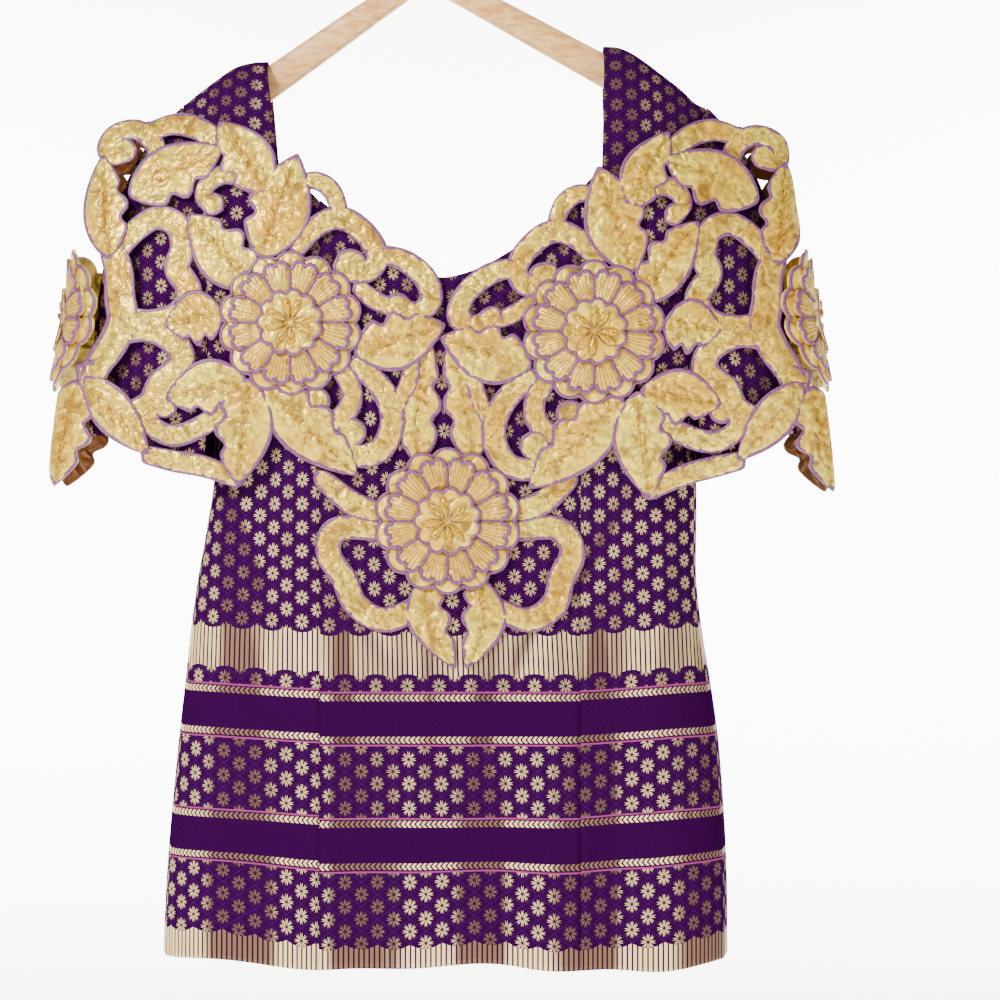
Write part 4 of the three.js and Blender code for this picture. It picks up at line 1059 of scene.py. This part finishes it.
def makeFlower(name, row):
    seat = flowerSeat(row)
    radius, look = row["radius"], flowerLook
    edging, layers = Parts(), {}

    def addLayer(layer, cloth, slotName, shares, low, high, heightAt, paintedShadeAt, edgeWidth, edgeHeight):
        parts = Parts()
        parts.add(*flowerDisc(seat, rim, angles, shares, low, heightAt, paintedShadeAt))
        layers[layer] = (parts, cloth, slotName, rim)
        rimLine(edging, seat, rim, angles, high, edgeWidth, edgeHeight)

    # Base: round plain scallops, each a soft cushion.
    count = look["baseLobes"] * 18
    angles = np.linspace(0, 2 * np.pi, count, endpoint=False)
    lobe = np.abs(np.sin(angles * look["baseLobes"] / 2))
    rim = radius * (0.915 + 0.085 * lobe**0.75)
    low, high = look["base"]

    def baseHeight(share, angle):
        swell = np.abs(np.sin(angle * look["baseLobes"] / 2)) ** 0.8
        return high - 0.9 + (0.35 + 1.15 * swell) * np.sin(np.pi * np.clip((share - 0.62) / 0.42, 0, 1)) ** 0.8

    # Painted shade: darker in the valleys between the scallops and where the petals lie over the base.
    def baseShade(share, angle):
        valley = 1 - np.abs(np.sin(angle * look["baseLobes"] / 2)) ** 0.5
        return np.clip(valley * 0.9 * (share > 0.6) + 0.5 * (share < 0.84), 0, 1)

    addLayer("base", satinCloth, "satin", np.linspace(0.3, 1, 15), low, high - 0.3, baseHeight, baseShade,
             look["edgeWidth"], 1.2)

    # Petals: notched at the outer edge, filled with raised rows of gold thread.
    size = radius * look["petalSize"]
    count = look["petals"] * 30
    angles = np.linspace(0, 2 * np.pi, count, endpoint=False)
    rim, phase = petalRim(angles, size)
    low2, high2 = look["ring"]

    def petalHeight(share, angle):
        phase = (angle / (2 * np.pi) * look["petals"]) % 1 * 2 - 1
        rib = np.cos(phase * np.pi * look["ribs"]) * (np.abs(phase) < 0.86)
        dip = np.exp(-((phase / 0.1) ** 2)) * np.clip((share - 0.6) / 0.4, 0, 1)
        crown = (1 - phase**4) * np.sin(np.pi * np.clip((share - 0.42) / 0.6, 0, 1)) ** 0.6
        return high2 - 0.9 + 1.5 * crown + 0.28 * rib * crown - 0.7 * dip * crown

    # Painted shade: darker in the grooves between the raised rows of thread, and towards each petal's sides.
    def petalShade(share, angle):
        phase = (angle / (2 * np.pi) * look["petals"]) % 1 * 2 - 1
        valley = 0.5 - 0.5 * np.cos(phase * np.pi * look["ribs"])
        stitch = 0.5 + 0.5 * np.sin(share * size * 2.6 + 3 * np.round(phase * look["ribs"]))
        return np.clip(0.1 + valley * (0.35 + 0.5 * stitch) + 0.5 * np.abs(phase) ** 6, 0, 1)

    addLayer("petals", goldSatin, "gold", np.linspace(0.38, 1, 17), low2, high2 - 0.2, petalHeight, petalShade,
             look["edgeWidth"] + 0.3, 1.4)
    for k in range(look["petals"]):  # the lilac line between two petals
        turn = 2 * np.pi * k / look["petals"]
        reach = np.arange(size * 0.5, size * 0.85 - 1.2, 1.3)
        line = np.stack([reach * np.cos(turn), reach * np.sin(turn)], -1)
        across = np.tile([[-np.sin(turn), np.cos(turn)]], (len(line), 1))
        flowerCord(edging, seat, line, across, np.full(len(line), high2 + 0.15), 2.0, 1.3, False)

    # Heart: a smooth scalloped disc over the petals.
    size = radius * look["heartSize"]
    count = look["heartLobes"] * 16
    angles = np.linspace(0, 2 * np.pi, count, endpoint=False)
    lobe = np.abs(np.sin(angles * look["heartLobes"] / 2))
    rim = size * (0.87 + 0.13 * lobe**0.8)
    low3, high3 = look["heart"]
    turns = [2 * np.pi * (k + 0.25 * math.sin(3 * k)) / look["drops"] + 0.3 + 0.2 * len(name)
             for k in range(look["drops"])]

    def heartHeight(share, angle):
        swell = np.abs(np.sin(angle * look["heartLobes"] / 2))
        spoke = np.abs(np.cos(angle * look["drops"] / 2)) ** 6 * (share < 0.75)
        crown = np.sin(np.pi * np.clip(0.28 + share * 0.72, 0, 1)) ** 0.6
        return high3 - 0.8 + 1.3 * crown * (0.6 + 0.4 * swell * smooth(share, 0.4, 0.8)) - 0.35 * spoke * crown

    # Painted shade: darker between the scallops, in the middle among the drops, and round each drop.
    def heartShade(share, angle):
        valley = (1 - np.abs(np.sin(angle * look["heartLobes"] / 2)) ** 0.6) * smooth(share, 0.55, 0.95)
        between = 0.55 * np.exp(-((share / 0.3) ** 2))
        # Painted shade: the satin is painted darker where it is drawn down round each drop.
        reach = share * size
        away = np.min([np.hypot(reach * np.cos(angle - turn) - 10.5, reach * np.sin(angle - turn) * 2.2)
                       for turn in turns], axis=0)
        drawn = 0.7 * np.exp(-(((away - 6.6) / 1.5) ** 2))
        return np.clip(valley * 0.8 + between + drawn, 0, 1)

    addLayer("heart", satinCloth, "satin", np.linspace(0.08, 1, 17), low3, high3 - 0.35, heartHeight, heartShade,
             look["edgeWidth"] - 0.3, 1.2)
    drops = [(look["dropFrom"] * math.cos(turn), look["dropFrom"] * math.sin(turn), turn) for turn in turns]
    return layers, edging, seat, drops


def flowerCord(parts, seat, line, across, out, width, height, closed):
    angles = np.linspace(0, 2 * np.pi, cord["sides"], endpoint=False)
    ridge = 1 - cord["sink"] * (np.arange(len(line)) % 2)[:, None]
    taper = np.ones(len(line))
    if not closed:
        taper[0] = taper[-1] = 0.5
    flat = line[:, None] + across[:, None] * (np.cos(angles) * width / 2)[None, :, None] * taper[:, None, None]
    level = out[:, None] + np.sin(angles)[None, :] * height * cord["roundness"] * ridge * taper[:, None]
    sewnCord(parts, seat(flat[..., 0], flat[..., 1], level), np.ones(len(line), bool), closed)


def rimLine(parts, seat, rim, angles, out, width, height):
    outline = np.stack([rim * np.cos(angles), rim * np.sin(angles)], -1)
    line = resampled(outline, 1.3, closed=True)
    across = crosswise(line, closed=True)
    flowerCord(parts, seat, line + across * width * 0.4, across, np.full(len(line), float(out)), width, height, True)


flowerPieces, heartTrees = {}, {}
for name, row in flowers.items():
    layers, edging, seat, drops = makeFlower(name, row)
    for layer, (parts, cloth, slotName, rim) in layers.items():
        piece = parts.build(f"flower_{name}_{layer}_cloth", cloth)
        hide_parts(f"flower_{name}_{layer}")
        flowerPieces[name, layer] = (piece, float(rim.mean() ** 2 * math.pi))
    heart = layers["heart"][0]
    heartTrees[name] = (np.concatenate(heart.points).tolist(), heart.faces)
    edgingPiece = edging.build(f"flower_{name}_edging", lilacThread)
    flowerPieces[name, "edging"] = (edgingPiece, 0)
    flowerPieces[name, "seat"] = (seat, drops)
print("flowers made")


# Raised embroidery, set on the finished satin: one small form repeated at points with their own directions.
embroidery = {"stitchWidth": 0.62, "stitchLength": 5.2, "veinSpacing": 1.15, "crowd": 2.3, "sideVeins": 4}


# A unit-long thread or drop lying along x; blunt moves its widest place outward.
def stitchForm(name, blunt, sides, rings):
    t = np.linspace(0.02, 0.98, rings)
    wide = np.sin(np.pi * t**blunt) ** 0.7
    angles = np.linspace(0, 2 * np.pi, sides, endpoint=False)
    points = np.stack([np.broadcast_to(t[:, None], (rings, sides)), wide[:, None] * np.cos(angles) / 2,
                       wide[:, None] * np.sin(angles) / 2], -1).reshape(-1, 3)
    faces = quads(rings, sides, closed=True)
    faces += [list(range(sides)), list(range((rings - 1) * sides, rings * sides))[::-1]]
    mesh = bpy.data.meshes.new(name)
    mesh.from_pydata(points.tolist(), [], facingOut(points, faces))
    mesh.polygons.foreach_set("use_smooth", np.ones(len(mesh.polygons), bool))
    return bpy.data.objects.new(name, mesh)


def stitchTree():
    tree = bpy.data.node_groups.new("sewnStitches", "GeometryNodeTree")
    face = tree.interface
    face.new_socket("Points", in_out="INPUT", socket_type="NodeSocketGeometry")
    form = face.new_socket("Form", in_out="INPUT", socket_type="NodeSocketObject")
    thread = face.new_socket("Thread", in_out="INPUT", socket_type="NodeSocketMaterial")
    fullness = face.new_socket("Fullness", in_out="INPUT", socket_type="NodeSocketFloat")
    face.new_socket("Stitches", in_out="OUTPUT", socket_type="NodeSocketGeometry")
    given = addNode(tree, "NodeGroupInput")
    ahead = addNode(tree, "GeometryNodeInputNamedAttribute", {0: "ahead"}, data_type="FLOAT_VECTOR")
    facing = addNode(tree, "GeometryNodeInputNamedAttribute", {0: "facing"}, data_type="FLOAT_VECTOR")
    size = addNode(tree, "GeometryNodeInputNamedAttribute", {0: "size"}, data_type="FLOAT_VECTOR")
    upright = addNode(tree, "FunctionNodeAlignRotationToVector", {"Vector": facing}, axis="Z")
    turned = addNode(tree, "FunctionNodeAlignRotationToVector", {"Rotation": upright, "Vector": ahead}, axis="X",
                     pivot_axis="Z")
    full = addNode(tree, "CombineXYZ", {0: 1.0, 1: given.outputs["Fullness"], 2: given.outputs["Fullness"]})
    scale = addNode(tree, "VectorMath", {0: size, 1: full}, operation="MULTIPLY")
    shape = addNode(tree, "GeometryNodeObjectInfo", {"Object": given.outputs["Form"]})
    placed = addNode(tree, "GeometryNodeInstanceOnPoints", {"Points": given.outputs["Points"],
                                                            "Instance": shape.outputs["Geometry"],
                                                            "Rotation": turned, "Scale": scale})
    real = addNode(tree, "GeometryNodeRealizeInstances", {0: placed})
    coloured = addNode(tree, "GeometryNodeSetMaterial", {0: real, "Material": given.outputs["Thread"]})
    addNode(tree, "NodeGroupOutput", {0: coloured})
    return tree, {"form": form.identifier, "thread": thread.identifier, "fullness": fullness.identifier}


sewnTree, sewnInputs = stitchTree()


def sew(name, places, form, thread, fullness=1.0):
    at, ahead, facing, size = (np.array([row[k] for row in places], float) for k in range(4))
    mesh = bpy.data.meshes.new(name)
    mesh.from_pydata(((at + (garmentShift, 0, 0)) / 1000).tolist(), [], [])
    for key, values in (("ahead", ahead), ("facing", facing), ("size", size / 1000)):
        layer = mesh.attributes.new(key, "FLOAT_VECTOR", "POINT")
        layer.data.foreach_set("vector", values.astype(np.float32).ravel())
    source = bpy.data.objects.new(name + "_points", mesh)
    bpy.context.scene.collection.objects.link(source)
    modifier = source.modifiers.new("sewn", "NODES")
    modifier.node_group = sewnTree
    modifier[sewnInputs["form"]] = form
    modifier[sewnInputs["thread"]] = thread
    modifier[sewnInputs["fullness"]] = fullness
    bpy.context.view_layer.update()
    ready = source.evaluated_get(bpy.context.evaluated_depsgraph_get())
    piece = bpy.data.objects.new(name, bpy.data.meshes.new_from_object(ready))
    piece.data.name = name
    for attribute in [a.name for a in piece.data.attributes if a.name in ("ahead", "facing", "size")]:
        piece.data.attributes.remove(piece.data.attributes[attribute])
    bpy.context.scene.collection.objects.link(piece)
    bpy.data.objects.remove(source)
    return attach(piece, "root")


def treeOf(parts):
    points = np.concatenate(parts.points)
    return BVHTree.FromPolygons(points.tolist(), parts.faces, all_triangles=False, epsilon=0.0)


threadForm, dropForm = stitchForm("threadForm", 1.0, 4, 4), stitchForm("dropForm", 1.7, 10, 9)
for form in (threadForm, dropForm):
    bpy.context.scene.collection.objects.link(form)


# Where lines from outside meet the satin, with the outward directions there; a miss is None.
def meetings(found, place, flat, out=14.0):
    flat = np.asarray(flat, float).reshape(-1, 2)
    level = np.zeros(len(flat))
    far, near = place(flat[:, 0], flat[:, 1], level + out), place(flat[:, 0], flat[:, 1], level)
    toward = near - far
    reach = np.linalg.norm(toward, axis=1)
    toward /= reach[:, None]
    lines = zip(far.tolist(), toward.tolist(), reach.tolist())
    hits = [found.ray_cast(Vector(start), Vector(way), length)[0] for start, way, length in lines]
    return [None if hit is None else np.array(hit) for hit in hits], -toward


# Stitches from their flat starts and ends, laid on the satin.
def layStitches(found, place, rows, lift=0.1):
    if not rows:
        return []
    starts, outward = meetings(found, place, [row[0] for row in rows])
    ends, _ = meetings(found, place, [row[1] for row in rows])
    places = []
    for a, b, up, (start, end, width, height) in zip(starts, ends, outward, rows):
        if a is None or b is None:
            continue
        size = np.linalg.norm(b - a)
        if 0.4 < size < 1.8 * np.linalg.norm(np.subtract(end, start)):
            places.append((a + up * lift, (b - a) / size, up, (size, width, height)))
    return places


# Gold veins: a close band of slanting stitches up each leaf's midrib, and finer side veins fanning from it.
def leafVeins(work, row, hand):
    rows = []
    base, tip = np.array(row["base"], float), np.array(row["tip"], float)
    axis = tip - base
    length = np.linalg.norm(axis)
    axis /= length
    normal = np.array([-axis[1], axis[0]])

    def add(at, direction, reach, width, height):
        rows.append((at, at + direction * reach, width, height))

    count = int(length * 0.78 / embroidery["veinSpacing"])
    # Short glittering stitches crowd the midrib, most of all near the stalk.
    for i in range(int(count * embroidery["crowd"])):
        t = 0.08 + 0.72 * (i / count / 2.4) ** 1.25
        spread = (2.6 * (1 - t) + 0.9) * math.sin(i * 2.4)
        lean = 0.5 * math.sin(i * 1.9) + 0.25 * np.sign(spread)
        bow = np.array([row.get("bow", 0), 0]) * math.sin(math.pi * t)
        add(base + bow + axis * t * length + normal * spread, axis * math.cos(lean) + normal * math.sin(lean),
            2.2 + 0.9 * math.sin(i * 3.1), 0.55, 0.55)
    for i in range(count):
        t = 0.1 + 0.78 * i / count
        full = math.sin(math.pi * min(1, t * 1.05)) ** 0.5
        side = 1 if i % 2 else -1
        lean = 0.32 + 0.16 * math.sin(i * 2.3)
        direction = axis * math.cos(lean) + normal * side * math.sin(lean)
        bow = np.array([row.get("bow", 0), 0]) * math.sin(math.pi * t)
        start = base + bow + axis * t * length + normal * side * (0.2 + 0.7 * full * abs(math.sin(i * 1.7)))
        reach = embroidery["stitchLength"] * full * (0.8 + 0.3 * math.sin(i * 1.1))
        add(start, direction, reach, embroidery["stitchWidth"], 0.7)
    for k in range(embroidery["sideVeins"]):
        for side in (-1, 1):
            t = 0.2 + 0.16 * k + 0.04 * side
            for strand in range(2):
                lean = 0.75 + 0.12 * strand - 0.06 * k
                direction = axis * math.cos(lean) + normal * side * math.sin(lean)
                start = base + axis * t * length + normal * side * 1.2 + axis * strand * 1.6
                reach = row["width"] * 0.30 * math.sin(math.pi * t**0.85) ** 0.85
                for part in range(3):
                    add(start + direction * reach * part / 3, direction, reach / 3 * 1.05, 0.42, 0.4)
    starts = work.settle(np.array([row[0] for row in rows]), hand)
    ends = work.settle(np.array([row[1] for row in rows]), hand)
    room = np.minimum(edgeRoom(starts, work.widthAt), edgeRoom(ends, work.widthAt)) > 1
    clear = np.maximum(nearFlower(starts, work.names), nearFlower(ends, work.names)) < 0.6
    return [(a, b, *row[2:]) for a, b, row, good in zip(starts, ends, rows, room & clear) if good]


# A wandering line of small loops, as the quilting of the bands is stitched.
meander = {"step": 1.0, "swing": 0.24, "beat": 11.5, "thread": 0.5}


def bandMeander(work, row, hand, parts, found, seed):
    left, middle, right = bandEdges(row, cutwork["bandStep"])
    run = np.concatenate([[0], np.cumsum(np.linalg.norm(np.diff(middle, axis=0), axis=1))])
    wide = np.linalg.norm(left - right, axis=1)
    s = np.arange(4, run[-1] - 4, 0.5)
    beat = meander["beat"]
    wiggle = s + 0.22 * beat * np.sin(5.3 * np.pi * s / beat + seed) + 1.6 * np.sin(s / 5.1 + seed)
    wiggle = np.clip(wiggle, 2, run[-1] - 2)
    turn = np.pi * s / beat
    swing = meander["swing"] * (np.sin(2.3 * turn + 2 * seed) + 0.42 * np.cos(5.3 * turn + seed))
    at = np.stack([np.interp(wiggle, run, middle[:, k]) for k in (0, 1)], -1)
    across = (right - left) / np.maximum(wide, 1e-6)[:, None]
    sideways = np.stack([np.interp(wiggle, run, across[:, k]) for k in (0, 1)], -1)
    line = at + sideways * (swing * np.interp(wiggle, run, wide))[:, None]
    line = resampled(line, meander["step"])
    line = work.settle(line, hand)
    keep = (edgeRoom(line, work.widthAt) > 1) & (nearFlower(line, work.names) < 0.6)
    chain = []
    hits, ups = meetings(found, work.placeAt, line)
    for hit, outward, good in zip(hits, ups, keep):
        if hit is None or not good:
            threadChain(parts, chain)
            chain = []
        else:
            chain.append((hit + outward * 0.08, outward))
    threadChain(parts, chain)


def threadChain(parts, chain):
    if len(chain) < 4:
        return
    line, outward = np.array([row[0] for row in chain]), np.array([row[1] for row in chain])
    ahead = np.gradient(line, axis=0)
    ahead /= np.maximum(np.linalg.norm(ahead, axis=1, keepdims=True), 1e-9)
    across = np.cross(outward, ahead)
    angles = np.linspace(0, 2 * np.pi, 4, endpoint=False)
    radius = meander["thread"] / 2
    rings = line[:, None] + radius * (np.cos(angles)[None, :, None] * across[:, None] +
                                      np.sin(angles)[None, :, None] * outward[:, None])
    sewnCord(parts, rings, np.ones(len(line), bool), False)


for node, work in cutworks.items():
    work.placeAt = lambda x, y, out, work=work: work.place(np.stack([x, y], -1), out)
    found = treeOf(work.satin)
    rows, quilting = [], Parts()
    centre = node == "yoke_centre"
    backSide = node.startswith("sleeve_cutwork")
    hands = (-1, 1) if centre else ((-1,) if node.endswith("left") else (1,))
    for hand in hands:
        for row in centreLeaves if centre else leaves:
            if not backSide or row.get("wraps"):
                rows += leafVeins(work, row, hand)
        for i, row in enumerate(centreBands if centre else (*loops, *scrolls)):
            if not backSide or row.get("wraps"):
                bandMeander(work, row, hand, quilting, found, i + 0.5 * hand)
    places = layStitches(found, work.placeAt, rows)
    veins = sew(f"veins_{node}", places, threadForm, goldThread)
    quilting.build(f"quilting_{node}", quiltThreadAndGrooveShade)
for name, row in flowers.items():
    seat, dropPlaces = flowerPieces[name, "seat"]
    found = BVHTree.FromPolygons(*heartTrees[name], all_triangles=False, epsilon=0.0)
    rows = []
    for x, y, turn in dropPlaces:
        end = (x + flowerLook["dropLength"] * math.cos(turn), y + flowerLook["dropLength"] * math.sin(turn))
        rows.append(((x, y), end, flowerLook["dropWidth"], flowerLook["dropHeight"]))
    places = layStitches(found, seat, rows, 0.2)
    flowerPieces[name, "drops"] = (sew(f"flower_{name}_drops", places, dropForm, goldThread), 0)
for form in (threadForm, dropForm):
    bpy.data.objects.remove(form)
print("embroidery made")


# The hanger, its arms leaning a little, and its hook.
hanger = {"thickness": 12, "lean": 3.3, "reach": 190, "capFrom": 176}
hangerArm = {
    "x": (0, 9, 20, 50, 122, 148, 170, 186),
    "top": (57.5, 58.5, 70.5, 87.5, 130.7, 145.5, 161, 175),
    "under": (78.5, 80.5, 88, 107.5, 154, 170, 185, 196),
}
hook = {"wire": 1.9, "bend": 19.9, "openFrom": 200, "closeAt": -62, "collar": 4, "collarHeight": 4}


def leaning(points):
    a = -math.radians(hanger["lean"])
    x, y, z = points[..., 0], points[..., 1], points[..., 2]
    return np.stack([x * math.cos(a) + z * math.sin(a), y, -x * math.sin(a) + z * math.cos(a)], -1)


def hangerWood():
    u = np.linspace(-1, 1, 181)
    x = hanger["reach"] * np.sign(u) * np.abs(u) ** 0.92
    top = along(hangerArm, "top", np.abs(x), "x")
    under = along(hangerArm, "under", np.abs(x), "x")
    capLength = hanger["reach"] - hanger["capFrom"]
    past = np.clip(np.abs(x) - hanger["capFrom"], 0, capLength) / capLength
    cap = np.sqrt(np.maximum(1 - past**2, 0))
    middle, half = (top + under) / 2, (under - top) / 2
    angles = np.linspace(0, 2 * np.pi, 28, endpoint=False)
    c, s = np.cos(angles), np.sin(angles)
    sx = np.sign(c) * np.abs(c) ** 0.72
    sy = np.sign(s) * np.abs(s) ** 0.72
    slope = np.gradient(middle, x)
    z = -(middle[:, None] + half[:, None] * cap[:, None] * sy[None, :])
    shift = (half * cap * np.clip(slope, -0.9, 0.9) * 0.25)[:, None] * sy[None, :]
    y = hanger["thickness"] / 2 * np.maximum(cap, 0.02)[:, None] * sx[None, :]
    points = np.stack([x[:, None] - shift, y, z], -1)
    rows, columns = z.shape
    faces = quads(rows, columns, closed=True)
    faces.append(list(range(columns)))
    faces.append(list(range((rows - 1) * columns, rows * columns))[::-1])
    piece = addMesh("beech_hanger", leaning(points), facingOut(points, faces), [beech], shift=0)
    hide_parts("hanger_wood")
    return piece


def tube(line, radius, sides):
    ahead = np.gradient(line, axis=0)
    ahead /= np.linalg.norm(ahead, axis=1, keepdims=True)
    up = np.array([0, 1.0, 0])
    b = np.cross(ahead, up)
    b /= np.linalg.norm(b, axis=1, keepdims=True)
    n = np.cross(b, ahead)
    angles = np.linspace(0, 2 * np.pi, sides, endpoint=False)
    rings = line[:, None] + radius[:, None, None] * (np.cos(angles)[None, :, None] * b[:, None] +
                                                     np.sin(angles)[None, :, None] * n[:, None])
    faces = quads(len(line), sides, closed=True)
    faces += [list(range(sides)), list(range((len(line) - 1) * sides, len(line) * sides))[::-1]]
    return rings, facingOut(rings, faces)


def hangerHook():
    centre = hook["bend"] - hook["wire"]
    angle = np.radians(np.linspace(hook["openFrom"], hook["closeAt"], 60))
    points = [(hook["bend"] * math.cos(a), hook["bend"] * math.sin(a) - centre) for a in angle]
    foot = 57.5 - seamGap
    low = -centre - hook["bend"]
    points += [(2.2, low - 2.2), (0.4, low - 6), (0, low - 9), (0, -foot)]
    line = smoothLine(points, 0.8)
    line = np.stack([line[:, 0], 0 * line[:, 0], line[:, 1]], -1)
    radius = np.full(len(line), float(hook["wire"]))
    fromStart = 0.8 * np.arange(len(line))
    radius *= np.sqrt(np.clip(fromStart / 1.9, 0.02, 1) * (2 - np.clip(fromStart / 1.9, 0.02, 1)))
    high = -foot + hook["collarHeight"]
    onCollar = (line[:, 2] < high) & (np.abs(line[:, 0]) < 3)
    radius = np.where(onCollar, hook["collar"], radius)
    rings, faces = tube(line, radius, 20)
    piece = addMesh("steel_hook", leaning(rings), faces, [steelWire], shift=0)
    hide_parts("hanger_hook")
    return piece


hangerPiece = hangerWood()
hangerHook()
print("hanger made")


# The satin is cut as an oblong for each piece of cutwork; what is left of it is the motifs' own area. The loops below
# only look up each piece, its edging, its flower layers and their areas, and set nothing.
satinSheets = {
    "yoke_left": (0.30, 0.27), "yoke_right": (0.30, 0.27), "yoke_centre": (0.19, 0.23),
    "sleeve_cutwork_back_left": (0.13, 0.27), "sleeve_cutwork_back_right": (0.13, 0.27),
}
for node, flat in satinSheets.items():
    piece, edging, area = satinPieces[node]
    under = panels["sleeve_" + node.split("_")[-1] if "back" in node else "front_centre"]
for name, row in flowers.items():
    for layer, size in (("base", 1), ("petals", flowerLook["petalSize"]), ("heart", flowerLook["heartSize"])):
        piece, area = flowerPieces[name, layer]
        extra = [flowerPieces[name, "edging"][0]] if layer == "base" else []
        extra += [flowerPieces[name, "drops"][0]] if layer == "heart" else []


# Pale floor and backdrop, and soft studio light.
stage = {"floor": -1.25, "back": 4.0, "width": 14.0}


def makeStage():
    material, tree, surface = newMaterial("paleBackdrop")
    surface.inputs["Base Color"].default_value = colour("#F6F5F3")
    surface.inputs["Roughness"].default_value = 0.9
    surface.inputs["Emission Color"].default_value = colour("#FFFFFF")
    surface.inputs["Emission Strength"].default_value = 1.6
    w, floor, back = stage["width"] / 2, stage["floor"], stage["back"]
    profile = [(-5.0, floor), (back - 0.8, floor)]
    sweep = np.linspace(0.1, math.pi / 2, 14)
    profile += [(back - 0.8 + 0.8 * math.sin(a), floor + 0.8 - 0.8 * math.cos(a)) for a in sweep]
    profile += [(back, 3.2)]
    points = [(x, y, z) for y, z in profile for x in (-w, w)]
    mesh = bpy.data.meshes.new("backdrop")
    mesh.from_pydata(points, [], quads(len(profile), 2))
    mesh.materials.append(material)
    mesh.polygons.foreach_set("use_smooth", np.ones(len(mesh.polygons), bool))
    piece = bpy.data.objects.new("backdrop", mesh)
    bpy.context.scene.collection.objects.link(piece)


lights = {
    "key": {"place": (-1.25, -1.9, 0.75), "aim": (0.02, 0, -0.42), "size": 0.6, "power": 86},
    "fill": {"place": (1.6, -1.9, -0.2), "aim": (0.02, 0, -0.42), "size": 1.8, "power": 12},
    "top": {"place": (0.1, -0.5, 1.2), "aim": (0.02, 0, -0.42), "size": 1.2, "power": 9},
    "washLeft": {"place": (-3, 1.8, 0.6), "aim": (-0.3, 4, -0.4), "size": 1.6, "power": 260, "spread": 90},
    "washRight": {"place": (3, 1.8, 0.6), "aim": (0.3, 4, -0.4), "size": 1.6, "power": 260, "spread": 90},
}


def makeLights():
    for name, row in lights.items():
        data = bpy.data.lights.new(name, "AREA")
        data.shape = "DISK"
        data.size = row["size"]
        data.energy = row["power"]
        lamp = bpy.data.objects.new(name, data)
        lamp.location = row["place"]
        lamp.visible_camera = False
        data.spread = math.radians(row.get("spread", 180))
        aim = Vector(row["aim"]) - Vector(row["place"])
        lamp.rotation_euler = aim.to_track_quat("-Z", "Y").to_euler()
        bpy.context.scene.collection.objects.link(lamp)
    world = bpy.data.worlds.new("studio")
    bpy.context.scene.world = world
    world.use_nodes = True
    world.node_tree.nodes["Background"].inputs[0].default_value = colour("#FFFFFF")
    world.node_tree.nodes["Background"].inputs[1].default_value = 0.34


makeStage()
makeLights()
print("stage and lights made")
